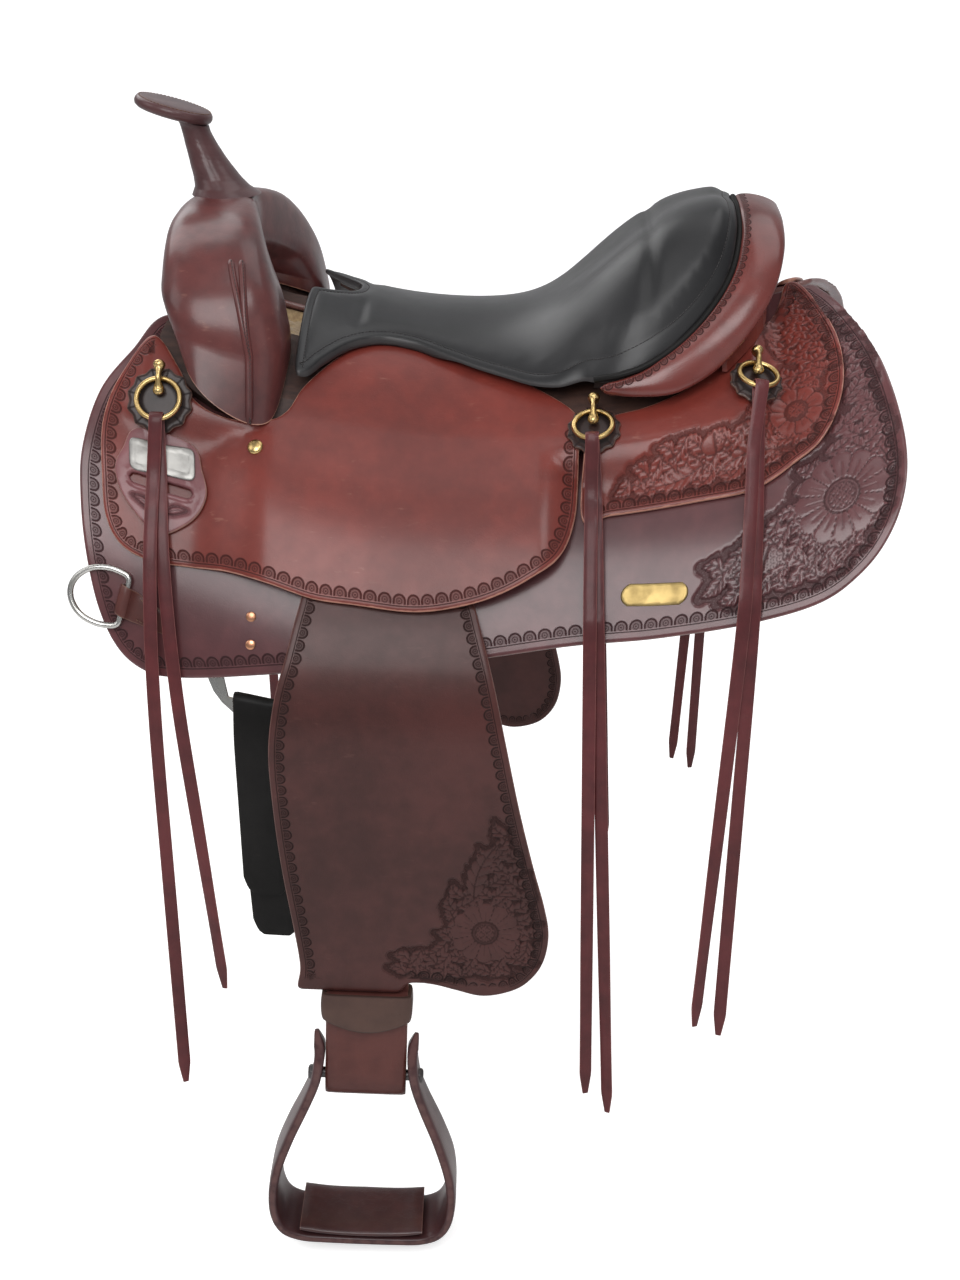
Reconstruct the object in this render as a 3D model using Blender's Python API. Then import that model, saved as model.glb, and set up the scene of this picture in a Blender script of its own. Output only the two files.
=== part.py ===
"""Western trail saddle, modelled as the separate pieces that a saddler makes and joins.

+X runs to the cantle, -X to the horse's head, the near (left) side is -Y and +Z is up.
The origin lies on the horse's spine line, midway along the saddle. Metres throughout.
"""
import math

import bmesh
import bpy
from mathutils import Matrix, Vector

for old in list(bpy.data.objects):
    bpy.data.objects.remove(old, do_unlink=True)

# The horse's back, which every layer is bent over
BACK_MID = 0.042
BACK_ROCK = 0.070
BACK_LOW_X = 0.030
BACK_SPAN = 0.330
BACK_RADIUS = 0.380
BACK_EDGE = 0.045
BACK_PITCH = 25.0

# Leathers and the clearances between them
FLEECE = 0.0118
SKIRT = 0.0050
JOCKEY = 0.0040
FENDER = 0.0045
STRAP = 0.0040
LAY = 0.0005
TOUCH = 0.0003

# Skirts and jockeys
SKIRT_FRONT = -0.316
SKIRT_REAR = 0.354
SKIRT_FALL_FRONT = 0.335
SKIRT_FALL_REAR = 0.275
JOCKEY_FRONT = -0.300
JOCKEY_FALL = 0.248
JOCKEY_SPLIT = 0.094
REAR_JOCKEY_END = 0.309
REAR_JOCKEY_FALL = 0.171

# Tree
BAR_FRONT = -0.262
BAR_REAR = 0.232
BAR_TOP = 0.020
BAR_BOTTOM = 0.108
BAR_THICK = 0.0155
FORK_X = -0.205
FORK_TOP = 0.1835
FORK_COVER = 0.0038
FORK_SEAT = 0.0130
FORK_LINE = 0.0018
HORN_RADIUS = 0.0345
HORN_CAP = 0.0115
HORN_X = -0.2640
HORN_Z = 0.2585
HORN_TILT = 16.0
NECK_AHEAD = 0.016
NECK_BEHIND = 0.013

# Seat
SEAT_LOW = 0.095
SEAT_FRONT = -0.145
HAND_NOTCH = 0.038
SEAT_WAIST = 0.0905
SEAT_WIDE = 0.1385
SEAT_EDGE = 0.0042
SEAT_CROWN = 0.0090
SHOULDER = 0.0540
SHOULDER_IN = 0.0500
SHOULDER_TOP = 0.1930
SHOULDER_SOFT = 0.0080
GROUND_SEAT = 0.0026
ROLL_THICK = 0.0110

# Fenders and stirrups
HANG_X = -0.080
HANG_TILT = 3.9
PIVOT_FALL = 0.125
LIFT_DROP = 0.018
LEG_ROOM = 0.0162
FENDER_BEND = 0.110
FENDER_LONG = 0.336
LEATHER_WIDE = 0.071
STIRRUP_X = -0.082
BOLT_DROP = 0.0900
BOLT_RADIUS = 0.0050
STIRRUP_TALL = 0.1641
STIRRUP_HALF = 0.083
STIRRUP_DEEP = 0.062
STIRRUP_WALL = 0.0090

# Hardware and strings
RING_WIRE = 0.0022
ROSETTE = 0.0030
STRING_WIDE = 0.0110
STRING_THICK = 0.0018
DEE_WIRE = 0.0026
DEE_CLEAR = 0.0012
DEE_X = -0.276
DEE_FALL = 0.284
CHAPE = 0.0024
RIG_PLATE = 0.0035
RIG_X = -0.166
RIG_HALF = 0.043
RIG_DROP = 0.012
STRAP_CLEAR = 0.0020
LATIGO_WIDE = 0.0400

SITES = (
    ("front", -0.252, 0.122, 0.0275, 0.0200),
    ("mid", 0.106, 0.104, 0.0225, 0.0180),
    ("rear", 0.237, 0.086, 0.0225, 0.0180),
)


def clamp01(value):
    return max(0.0, min(1.0, value))


def ease(value):
    t = clamp01(value)
    return t * t * (3.0 - 2.0 * t)


def window(value, low, high, fade):
    return ease((value - low + fade) / fade) * ease((high + fade - value) / fade)


def rock(x):
    return BACK_MID + BACK_ROCK * ((x - BACK_LOW_X) / BACK_SPAN) ** 2


def pitch(x):
    front = ease((-x - 0.06) / 0.30)
    rear = ease((x - 0.06) / 0.32)
    return math.radians(BACK_PITCH + 6.0 * front - 4.0 * rear)


def back(x, fall, lift):
    """Point on the near side of the back: fall runs down from the spine edge, lift is outward."""
    start = pitch(x)
    angle = start + fall / BACK_RADIUS
    y = BACK_EDGE + BACK_RADIUS * (math.sin(angle) - math.sin(start)) + lift * math.sin(angle)
    z = rock(x) - BACK_RADIUS * (math.cos(start) - math.cos(angle)) + lift * math.cos(angle)
    return Vector((x, -y, z))


def spline(points, steps, closed=True):
    """Smooth run through the given points."""
    n = len(points)
    out = []
    spans = n if closed else n - 1
    for i in range(spans):
        if closed:
            p = [Vector(points[(i + k - 1) % n]) for k in range(4)]
        else:
            p = [Vector(points[min(max(i + k - 1, 0), n - 1)]) for k in range(4)]
        for j in range(steps):
            t = j / steps
            a = 2.0 * p[1]
            b = (p[2] - p[0]) * t
            c = (2.0 * p[0] - 5.0 * p[1] + 4.0 * p[2] - p[3]) * t * t
            d = (3.0 * p[1] - p[0] - 3.0 * p[2] + p[3]) * t * t * t
            out.append(0.5 * (a + b + c + d))
    if not closed:
        out.append(Vector(points[-1]))
    return out


def at(table, x):
    """Value at x in a table of (x, value) pairs, eased between them."""
    if x <= table[0][0]:
        return table[0][1]
    for (x0, v0), (x1, v1) in zip(table, table[1:]):
        if x <= x1:
            return v0 + (v1 - v0) * (x - x0) / (x1 - x0)
    return table[-1][1]


def inset(outline, amount):
    """Outline drawn in by an amount, its points counter-clockwise."""
    n = len(outline)
    out = []
    for i in range(n):
        run = (outline[(i + 1) % n] - outline[i - 1]).normalized()
        out.append(outline[i] + Vector((-run.y, run.x)) * amount)
    return out


def flat_slab(outline, cell_x, cell_y, rings=()):
    """Outline as a flat face cut into cells, then raised into a slab one unit thick."""
    bm = bmesh.new()
    area = sum(a.x * b.y - b.x * a.y for a, b in zip(outline, outline[1:] + outline[:1]))
    if area < 0.0:
        outline = outline[::-1]
    face = bm.faces.new([bm.verts.new((p.x, p.y, 0.0)) for p in outline])
    for width in rings:
        bmesh.ops.inset_region(bm, faces=[face], thickness=width, use_even_offset=True)
    xs = [v.co.x for v in bm.verts]
    ys = [v.co.y for v in bm.verts]
    cuts = []
    for cell, low, high, axis in ((cell_x, min(xs), max(xs), 0), (cell_y, min(ys), max(ys), 1)):
        if cell:
            k = math.floor(low / cell) + 1
            while k * cell < high - 0.0002:
                cuts.append((k * cell, axis))
                k += 1
    for place, axis in cuts:
        co = Vector((0.0, 0.0, 0.0))
        co[axis] = place
        no = Vector((0.0, 0.0, 0.0))
        no[axis] = 1.0
        geom = bm.verts[:] + bm.edges[:] + bm.faces[:]
        bmesh.ops.bisect_plane(bm, geom=geom, dist=0.0003, plane_co=co, plane_no=no)
    bmesh.ops.triangulate(bm, faces=bm.faces[:], quad_method="FIXED", ngon_method="BEAUTY")
    raised = bmesh.ops.extrude_face_region(bm, geom=bm.faces[:])
    for v in raised["geom"]:
        if isinstance(v, bmesh.types.BMVert):
            v.co.z = 1.0
    return bm


def face_out(bm):
    """Turn every face outward."""
    bmesh.ops.recalc_face_normals(bm, faces=bm.faces[:])
    if bm.calc_volume(signed=True) < 0.0:
        bmesh.ops.reverse_faces(bm, faces=bm.faces[:])
    return bm


def bend(bm, place):
    """Carry every vertex of a flat slab to its place on the saddle."""
    for v in bm.verts:
        v.co = place(v.co.x, v.co.y, v.co.z)
    return face_out(bm)


def panel(outline, under, thick, cell_x=0.045, cell_s=0.030, rings=()):
    """Leather panel that lies over the back at the height that under(x, fall) gives."""
    def place(x, fall, t):
        wall = thick(x, fall) if callable(thick) else thick
        return back(x, fall, under(x, fall) + wall * t)
    return bend(flat_slab(outline, cell_x, cell_s, rings), place)


def skin(bm, pairs):
    """Triangles between neighbouring rings, every square split the same way."""
    for a, b in pairs:
        n = len(a)
        for i in range(n):
            k = (i + 1) % n
            bm.faces.new((a[i], a[k], b[k]))
            bm.faces.new((a[i], b[k], b[i]))


def loft(rings, closed_path=False):
    """Solid through rings of equal count, capped at its ends unless the path closes."""
    bm = bmesh.new()
    rows = [[bm.verts.new(p) for p in ring] for ring in rings]
    pairs = list(zip(rows, rows[1:]))
    if closed_path:
        pairs.append((rows[-1], rows[0]))
    skin(bm, pairs)
    if not closed_path:
        bm.faces.new(rows[0][::-1])
        bm.faces.new(rows[-1])
    return face_out(bm)


def rounded(half_a, half_b, axis_a, axis_b, centre, count=8, power=3.0):
    """Ring of points round a centre, between an ellipse and a box."""
    ring = []
    for i in range(count):
        angle = 2.0 * math.pi * (i + 0.5) / count
        c = math.cos(angle)
        s = math.sin(angle)
        reach = (abs(c) ** power + abs(s) ** power) ** (-1.0 / power)
        ring.append(centre + axis_a * (half_a * c * reach) + axis_b * (half_b * s * reach))
    return ring


def ribbon(path, across, wide, thick, count=4):
    """Flat strip swept along a path, its width along the across direction."""
    rings = []
    for i, p in enumerate(path):
        run = (path[min(i + 1, len(path) - 1)] - path[max(i - 1, 0)]).normalized()
        side = (across - run * across.dot(run)).normalized()
        out = run.cross(side).normalized()
        w = wide[i] if isinstance(wide, list) else wide
        rings.append(rounded(w / 2.0, thick / 2.0, side, out, p, count, 6.0 if count > 4 else 40.0))
    return loft(rings)


def round_bar(path, radius, count=8, closed=False):
    """Round wire along a path; radius may be one value or a list."""
    rings = []
    n = len(path)
    up = Vector((0.0, 0.0, 1.0))
    for i, p in enumerate(path):
        a = path[(i - 1) % n] if closed else path[max(i - 1, 0)]
        b = path[(i + 1) % n] if closed else path[min(i + 1, n - 1)]
        run = (b - a).normalized()
        u = (up - run * up.dot(run))
        if u.length < 0.05:
            u = Vector((0.0, 1.0, 0.0)) - run * run.y
        u.normalize()
        up = u
        w = run.cross(u)
        r = radius[i] if isinstance(radius, list) else radius
        rings.append([p + (u * math.cos(k * math.tau / count) + w * math.sin(k * math.tau / count)) * r
                      for k in range(count)])
    return loft(rings, closed)


def cylinder(centre, axis, radius, length, count=16):
    bm = bmesh.new()
    bmesh.ops.create_cone(bm, cap_ends=True, segments=count, radius1=radius, radius2=radius, depth=length)
    turn = Vector((0.0, 0.0, 1.0)).rotation_difference(axis).to_matrix().to_4x4()
    bmesh.ops.transform(bm, matrix=Matrix.Translation(centre) @ turn, verts=bm.verts[:])
    return bm


parts = bpy.data.collections.new("western_trail_saddle")
cutters = bpy.data.collections.new("cutters")
bpy.context.scene.collection.children.link(parts)
bpy.context.scene.collection.children.link(cutters)


def finish_material(name, colour, roughness, metallic=0.0):
    mat = bpy.data.materials.new(name)
    mat.use_nodes = True
    shader = mat.node_tree.nodes["Principled BSDF"]
    shader.inputs["Base Color"].default_value = (*colour, 1.0)
    shader.inputs["Roughness"].default_value = roughness
    shader.inputs["Metallic"].default_value = metallic
    return mat


CHESTNUT = finish_material("chestnut_leather", (0.17, 0.030, 0.018), 0.42)
PLUM = finish_material("plum_leather", (0.12, 0.040, 0.040), 0.45)
BLACK = finish_material("black_seat_leather", (0.010, 0.010, 0.011), 0.28)
DARK = finish_material("dark_trim_leather", (0.045, 0.018, 0.016), 0.50)
LACE = finish_material("oxblood_lace", (0.085, 0.016, 0.016), 0.48)
WOOL = finish_material("tan_fleece", (0.42, 0.27, 0.14), 0.95)
WOOD = finish_material("rawhide_tree", (0.55, 0.43, 0.27), 0.60)
STEEL = finish_material("stainless_steel", (0.62, 0.61, 0.60), 0.28, 1.0)
BRASS = finish_material("bright_brass", (0.80, 0.60, 0.26), 0.25, 1.0)
RAW = finish_material("skirting_leather", (0.33, 0.17, 0.09), 0.70)


def emit(name, bm, mat, origin=Vector((0.0, 0.0, 0.0)), smooth=35.0, sharp=None, group=parts):
    """Object from a mesh in world places, with its own origin."""
    mesh = bpy.data.meshes.new(name)
    bmesh.ops.translate(bm, vec=-origin, verts=bm.verts[:])
    bm.to_mesh(mesh)
    bm.free()
    obj = bpy.data.objects.new(name, mesh)
    obj.location = origin
    if mat:
        mesh.materials.append(mat)
    group.objects.link(obj)
    if smooth:
        mesh.shade_smooth()
        mesh.set_sharp_from_angle(angle=math.radians(smooth))
    return obj


def flip_copy(bm):
    """Mirror image across the saddle's middle plane."""
    other = bm.copy()
    for v in other.verts:
        v.co.y = -v.co.y
    bmesh.ops.reverse_faces(other, faces=other.faces[:])
    return other


def pair(name, bm, mat, origin=Vector((0.0, 0.0, 0.0)), smooth=35.0):
    """The same piece on the near side and, mirrored, on the off side."""
    other = flip_copy(bm)
    near = emit(name + "_near", bm, mat, origin, smooth)
    off = emit(name + "_off", other, mat, Vector((origin.x, -origin.y, origin.z)), smooth)
    return near, off


def boolean(obj, cutter, operation):
    """Cut or join one object with another and keep the result as its mesh."""
    cutter.hide_render = True
    cutter.display_type = "WIRE"
    mod = obj.modifiers.new(operation.lower(), "BOOLEAN")
    mod.operation = operation
    mod.solver = "EXACT"
    mod.object = cutter
    bpy.context.view_layer.update()
    graph = bpy.context.evaluated_depsgraph_get()
    made = bpy.data.meshes.new_from_object(obj.evaluated_get(graph))
    obj.modifiers.remove(mod)
    obj.data = made
    bpy.data.objects.remove(cutter, do_unlink=True)


# Heights of the layers over the back
def skirt_under(x, fall):
    return FLEECE + LAY


SKIRT_TOP = FLEECE + LAY + SKIRT


def bar_top(x, fall):
    """Height of the tree bars' upper face, thinned at the edges and at the stirrup notch."""
    edge = ease((fall - BAR_TOP + 0.004) / 0.020) * ease((BAR_BOTTOM + 0.006 - fall) / 0.030)
    tips = ease((x - BAR_FRONT + 0.01) / 0.05) * ease((BAR_REAR + 0.01 - x) / 0.06)
    return SKIRT_TOP + LAY + BAR_THICK * (0.62 + 0.38 * min(edge, tips))


def leg_hump(x):
    """Share of the seat jockey that rides over the fenders and stirrup leathers."""
    return window(x, -0.162, 0.062, 0.046)


def jockey_under(x, fall):
    over_bar = BAR_THICK + LAY * 2.0
    tips = window(x, BAR_FRONT, BAR_REAR, 0.030)
    bar = over_bar * tips * (1.0 - ease((fall - 0.112) / 0.040))
    leg = LEG_ROOM * leg_hump(x)
    return SKIRT_TOP + 2.0 * LAY + max(bar, leg)


def jockey_top(x, fall):
    return jockey_under(x, fall) + JOCKEY


# Skirts and their fleece lining
def skirt_outline():
    front = SKIRT_FRONT
    rear = SKIRT_REAR
    drop = SKIRT_FALL_FRONT
    tail = SKIRT_FALL_REAR
    pts = [
        (front + 0.052, 0.030), (front + 0.031, 0.075), (front + 0.010, 0.122), (front, 0.175),
        (front + 0.001, 0.215), (front + 0.007, 0.258), (front + 0.018, drop - 0.036),
        (front + 0.034, drop - 0.010), (front + 0.056, drop), (front + 0.084, drop - 0.003),
        (-0.140, drop - 0.027), (-0.030, tail + 0.012), (0.080, tail - 0.005), (0.160, tail - 0.004),
        (0.240, tail), (rear - 0.066, tail - 0.001), (rear - 0.038, tail - 0.012),
        (rear - 0.018, tail - 0.030), (rear - 0.005, tail - 0.056), (rear, 0.185), (rear - 0.004, 0.140),
        (rear - 0.016, 0.080), (rear - 0.033, 0.026), (rear - 0.052, -0.022), (rear - 0.066, -0.042),
        (0.245, -0.040), (0.210, -0.026), (0.150, 0.004), (0.020, 0.012), (-0.120, 0.012), (-0.215, 0.012),
    ]
    return spline(pts, 2)


def rig_recess(x, fall):
    """Hollow in the fleece behind the skirt, where the rigging plate lies."""
    return window(x, -0.232, -0.100, 0.035) * ease((fall - 0.200) / 0.035)


def fleece_thick(x, fall):
    return FLEECE - (RIG_PLATE + LAY) * rig_recess(x, fall)


outline = skirt_outline()
lining = [Vector((p.x, max(p.y, -0.034))) for p in inset(outline, 0.006)]
pair("fleece", panel(lining, lambda x, s: 0.0, fleece_thick), WOOL)
pair("skirt", panel(outline, skirt_under, SKIRT), PLUM)


# Seat surface, shared by the seat, the ground seat, the jockeys' upper edges and the roll
def seat_top(x, y):
    if x < 0.0:
        line = SEAT_LOW + x * x * (0.85 - 2.3 * x)
    else:
        line = SEAT_LOW + x * x * (1.55 + 1.8 * x)
    bow = 4.1 + 1.9 * max(0.0, (x - 0.130) / 0.065) ** 2
    return line - bow * abs(y) ** 2.2


# Half of the seat's outline from the hand notch at its front to the cantle
SEAT_HALF = (
    (SEAT_FRONT + HAND_NOTCH, 0.0), (SEAT_FRONT + HAND_NOTCH - 0.004, 0.018), (SEAT_FRONT + 0.016, 0.031),
    (SEAT_FRONT + 0.003, 0.038), (SEAT_FRONT - 0.0005, 0.052), (SEAT_FRONT - 0.0015, 0.110),
    (SEAT_FRONT - 0.0005, SEAT_WIDE + 0.002), (SEAT_FRONT + 0.012, SEAT_WIDE + 0.0025),
    (-0.119, SEAT_WAIST + 0.0335), (-0.099, SEAT_WAIST + 0.0125), (-0.076, SEAT_WAIST),
    (-0.050, SEAT_WAIST + 0.0005), (-0.024, SEAT_WAIST + 0.0105), (0.003, SEAT_WIDE - 0.0265),
    (0.029, SEAT_WIDE - 0.0165), (0.053, SEAT_WIDE - 0.0065), (0.076, SEAT_WIDE - 0.0005),
    (0.095, SEAT_WIDE),
)

# Inner and outer lines of the cantle roll: x, half width, height
ROLL_LINES = (
    ((0.222, 0.000, 0.190), (0.262, 0.000, 0.181)),
    ((0.224, 0.035, 0.183), (0.264, 0.040, 0.173)),
    ((0.224, 0.066, 0.166), (0.263, 0.075, 0.155)),
    ((0.217, 0.095, 0.141), (0.254, 0.105, 0.128)),
    ((0.200, 0.118, 0.116), (0.235, 0.128, 0.099)),
    ((0.176, 0.136, 0.093), (0.207, 0.146, 0.070)),
    ((0.150, 0.146, 0.076), (0.174, 0.156, 0.052)),
    ((0.126, 0.148, 0.067), (0.142, 0.158, 0.046)),
    ((0.106, 0.143, 0.062), (0.116, 0.154, 0.045)),
)


def seat_outline(draw_in):
    half = [Vector(p) for p in SEAT_HALF]
    half += [Vector((p[0][0], p[0][1])) for p in ROLL_LINES[::-1]][:-1]
    crest = Vector((ROLL_LINES[0][0][0], 0.0))
    loop = half + [crest] + [Vector((p.x, -p.y)) for p in half[:0:-1]]
    return inset(spline(loop, 2), draw_in)


def edge_distance(outline, x, y):
    best = 1.0
    p = Vector((x, y))
    for a, b in zip(outline, outline[1:] + outline[:1]):
        run = b - a
        t = clamp01((p - a).dot(run) / max(run.length_squared, 1e-12))
        best = min(best, (p - a - run * t).length)
    return best


# Counter-clockwise when seen from above needs the far half first
seat_loop = seat_outline(0.0)[::-1]
seat_loop = inset(seat_loop, 0.0025)


def shoulder(x, y, away):
    """Rolled shoulder of the padding inside the cantle's rim."""
    climb = ease((x - 0.048) / 0.085)
    ridge = math.sin(clamp01(away / SHOULDER_IN) * math.pi / 2.0)
    ridge *= 1.0 - 0.65 * ease((away - SHOULDER_IN) / 0.060)
    rise = SHOULDER * climb * ridge * (0.6 + 0.4 * ease(abs(y) / 0.060))
    room = SHOULDER_TOP - 1.2 * y * y - seat_top(x, y)
    share = clamp01(0.5 + 0.5 * (room - rise) / SHOULDER_SOFT)
    return room + (rise - room) * share - SHOULDER_SOFT * share * (1.0 - share)


def pad_thick(x, y):
    """Padding of the seat: a crown along the middle, thin at the rim, two soft channels."""
    away = edge_distance(seat_loop, x, y)
    crown = SEAT_CROWN * ease(away / 0.045)
    channel = 0.0022 * (math.exp(-((x + 0.098) / 0.006) ** 2) + math.exp(-((x - 0.150) / 0.006) ** 2))
    return SEAT_EDGE + crown + 0.5 * shoulder(x, y, away) - channel * ease(away / 0.030)


def seat_under(x, y):
    away = edge_distance(seat_loop, x, y)
    return seat_top(x, y) - SEAT_EDGE - SEAT_CROWN * ease(away / 0.045) + 0.5 * shoulder(x, y, away)


def seat_place(x, y, t):
    away = edge_distance(seat_loop, x, y)
    roll = 0.0018 * (1.0 - math.sqrt(max(0.0, 1.0 - (1.0 - clamp01(away / 0.006)) ** 2)))
    low = seat_under(x, y)
    return Vector((x, y, low + (pad_thick(x, y) - roll) * t))


seat = bend(flat_slab(seat_loop, 0.024, 0.024, (0.002, 0.005, 0.012)), seat_place)
emit("seat_pad", seat, BLACK, smooth=50.0)

# Ground seat between the bars
ground_half = [
    (SEAT_FRONT + HAND_NOTCH + 0.016, 0.0), (SEAT_FRONT + HAND_NOTCH + 0.014, 0.030),
    (SEAT_FRONT + 0.030, 0.050), (SEAT_FRONT + 0.014, SEAT_WAIST - 0.032),
    (-0.080, SEAT_WAIST - 0.024), (0.000, SEAT_WAIST - 0.024), (0.080, SEAT_WAIST - 0.022),
    (0.150, SEAT_WAIST - 0.018), (0.178, SEAT_WAIST - 0.032), (0.194, 0.0),
]
ground_loop = [Vector(p) for p in ground_half] + [Vector((p[0], -p[1])) for p in ground_half[-2:0:-1]]


def ground_place(x, y, t):
    return Vector((x, y, seat_under(x, y) - 5.0 * LAY - GROUND_SEAT * (1.0 - t)))


ground = bend(flat_slab(spline(ground_loop, 2), 0.024, 0.024), ground_place)
emit("ground_seat", ground, RAW)


# Seat jockeys
jockey_pts = [
    (JOCKEY_FRONT + 0.036, 0.068), (JOCKEY_FRONT + 0.012, 0.100), (JOCKEY_FRONT, 0.147),
    (JOCKEY_FRONT + 0.003, 0.195), (JOCKEY_FRONT + 0.008, JOCKEY_FALL - 0.024),
    (JOCKEY_FRONT + 0.021, JOCKEY_FALL - 0.007), (JOCKEY_FRONT + 0.045, JOCKEY_FALL - 0.002),
    (-0.221, JOCKEY_FALL - 0.006), (-0.190, JOCKEY_FALL - 0.009), (-0.155, JOCKEY_FALL - 0.006),
    (-0.117, JOCKEY_FALL), (-0.084, JOCKEY_FALL), (-0.039, JOCKEY_FALL), (-0.007, JOCKEY_FALL - 0.005),
    (0.025, JOCKEY_FALL - 0.014), (0.055, JOCKEY_FALL - 0.028), (0.080, JOCKEY_FALL - 0.046),
    (JOCKEY_SPLIT - 0.002, 0.170), (JOCKEY_SPLIT, 0.120), (JOCKEY_SPLIT, 0.094), (0.084, 0.078),
    (0.053, 0.056), (0.029, 0.044), (0.003, 0.034), (-0.024, 0.024), (-0.050, 0.018), (-0.076, 0.018),
    (-0.099, 0.030), (-0.119, 0.052), (-0.138, 0.080), (-0.149, 0.104), (-0.166, 0.116), (-0.200, 0.120),
    (-0.226, 0.112), (-0.240, 0.090),
]
jockey_loop = spline(jockey_pts, 2)
pair("seat_jockey", panel(jockey_loop, jockey_under, JOCKEY, 0.030), CHESTNUT)

# Rear jockeys
end = REAR_JOCKEY_END
low = REAR_JOCKEY_FALL
split = JOCKEY_SPLIT + 0.004
rear_pts = [
    (split, low), (split + 0.024, low - 0.002), (0.184, low - 0.002), (0.228, low), (0.248, low - 0.004),
    (0.267, low - 0.013), (end - 0.021, low - 0.025), (end - 0.007, low - 0.048), (end, 0.092),
    (end - 0.002, 0.051), (end - 0.013, 0.005), (end - 0.028, -0.041), (0.270, -0.044), (0.264, -0.020),
    (0.255, 0.004), (0.238, 0.030), (0.214, 0.056), (0.184, 0.075), (0.150, 0.086), (0.122, 0.090),
    (split + 0.004, 0.096), (split, 0.120),
]
pair("rear_jockey", panel(spline(rear_pts, 2), jockey_under, JOCKEY), CHESTNUT)


# Tree: bars, fork, cantle
bar_pts = [
    (BAR_FRONT, 0.060), (BAR_FRONT + 0.014, BAR_BOTTOM - 0.020), (BAR_FRONT + 0.050, BAR_BOTTOM),
    (-0.150, BAR_BOTTOM), (-0.020, BAR_BOTTOM), (0.100, BAR_BOTTOM), (BAR_REAR - 0.050, BAR_BOTTOM - 0.004),
    (BAR_REAR - 0.012, BAR_BOTTOM - 0.026), (BAR_REAR, 0.054), (BAR_REAR - 0.014, 0.030),
    (BAR_REAR - 0.050, BAR_TOP), (0.050, BAR_TOP), (-0.120, BAR_TOP), (BAR_FRONT + 0.040, BAR_TOP),
    (BAR_FRONT + 0.012, BAR_TOP + 0.012),
]


def bar_place(x, fall, t):
    low = SKIRT_TOP + LAY
    return back(x, fall, low + (bar_top(x, fall) - low) * t)


def fork_ring(u, grow, count=12):
    """Section of the fork at u, 0 at its crown and 1 at the foot on the bar."""
    outer = Vector((at(FORK_OUT_Y, u), at(FORK_OUT_Z, u)))
    inner = Vector((at(FORK_IN_Y, u), at(FORK_IN_Z, u)))
    span = outer - inner
    along = span.normalized()
    middle = (outer + inner) / 2.0
    front = at(FORK_FRONT, u)
    rear = at(FORK_BACK, u)
    centre = Vector(((front + rear) / 2.0, -middle.x, middle.y))
    square = 5.0 - 1.8 * ease((u - 0.15) / 0.40)
    ring = rounded((rear - front) / 2.0 + grow, span.length / 2.0 + grow,
                   Vector((1.0, 0.0, 0.0)), Vector((0.0, -along.x, along.y)), centre, count, square)
    for p in ring:
        p.z += (rock(p.x) - rock(FORK_X)) * ease((u - 0.50) / 0.34)
    return ring


top = FORK_TOP
FORK_OUT_Y = ((0.0, 0.0), (0.15, 0.038), (0.30, 0.080), (0.45, 0.119), (0.60, 0.146), (0.72, 0.1575),
              (0.84, 0.1580), (0.93, 0.1540), (1.0, 0.1470))
FORK_OUT_Z = ((0.0, top), (0.15, top - 0.001), (0.30, top - 0.009), (0.45, top - 0.028), (0.60, top - 0.057),
              (0.72, top - 0.084), (0.84, top - 0.108), (0.93, top - 0.122), (1.0, top - 0.1335))
FORK_IN_Y = ((0.0, 0.0), (0.15, 0.022), (0.30, 0.043), (0.45, 0.060), (0.60, 0.072), (0.72, 0.079),
             (0.84, 0.084), (0.93, 0.088), (1.0, 0.092))
FORK_IN_Z = ((0.0, top - 0.040), (0.15, top - 0.042), (0.30, top - 0.050), (0.45, top - 0.060),
             (0.60, top - 0.070), (0.72, top - 0.075), (0.84, top - 0.079), (0.93, top - 0.082),
             (1.0, top - 0.085))
FORK_FRONT = ((0.0, FORK_X - 0.040), (0.30, FORK_X - 0.048), (0.60, FORK_X - 0.046), (0.80, FORK_X - 0.036),
              (1.0, FORK_X - 0.022))
FORK_BACK = ((0.0, FORK_X + 0.004), (0.30, FORK_X + 0.022), (0.60, FORK_X + 0.042), (0.80, FORK_X + 0.049),
             (1.0, FORK_X + 0.046))


def arch(grow, last=1.0, steps=9, count=12):
    """Sections of the fork from the near foot up to the crown, then down to the off foot."""
    near = [fork_ring(last * k / steps, grow, count) for k in range(steps, -1, -1)]
    off = [[Vector((p.x, -p.y, p.z)) for p in ring] for ring in near[-2::-1]]
    return near + off


def fork_solid(grow):
    """Arch of the fork, its feet let into the bars."""
    rings = arch(grow)
    sink = (back(FORK_X, 0.062, 0.0) - back(FORK_X, 0.062, 1.0)) * FORK_SEAT
    foot = [p + sink for p in rings[0]]
    far = [Vector((p.x, -p.y, p.z)) for p in foot]
    return loft([foot] + rings + [far])


def fork_shell(grow_in, grow_out):
    """Leather cover of the fork, open at both feet, with a lobe drawn down over each jockey."""
    bm = bmesh.new()
    rows = []
    for grow in (grow_out, grow_in):
        rings = arch(grow, 7.0 / 9.0, 7)
        lobe = []
        above = fork_ring(7.0 / 9.0, grow)
        below = fork_ring(8.0 / 9.0, grow)
        for p in [a.lerp(b, 0.55) for a, b in zip(above, below)]:
            share = ease((-p.y - 0.118) / 0.036)
            waist = 1.0 - 0.22 * share
            lobe.append(Vector((FORK_X + 0.022 + (p.x - FORK_X - 0.022) * waist, p.y - 0.0150 * share,
                                p.z - 0.038 * share)))
        far = [Vector((p.x, -p.y, p.z)) for p in lobe]
        rows.append([[bm.verts.new(p) for p in ring] for ring in [lobe] + rings + [far]])
    for sheet in rows:
        skin(bm, list(zip(sheet, sheet[1:])))
    for e in (0, -1):
        skin(bm, [(rows[0][e], rows[1][e])])
    return face_out(bm)


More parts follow.
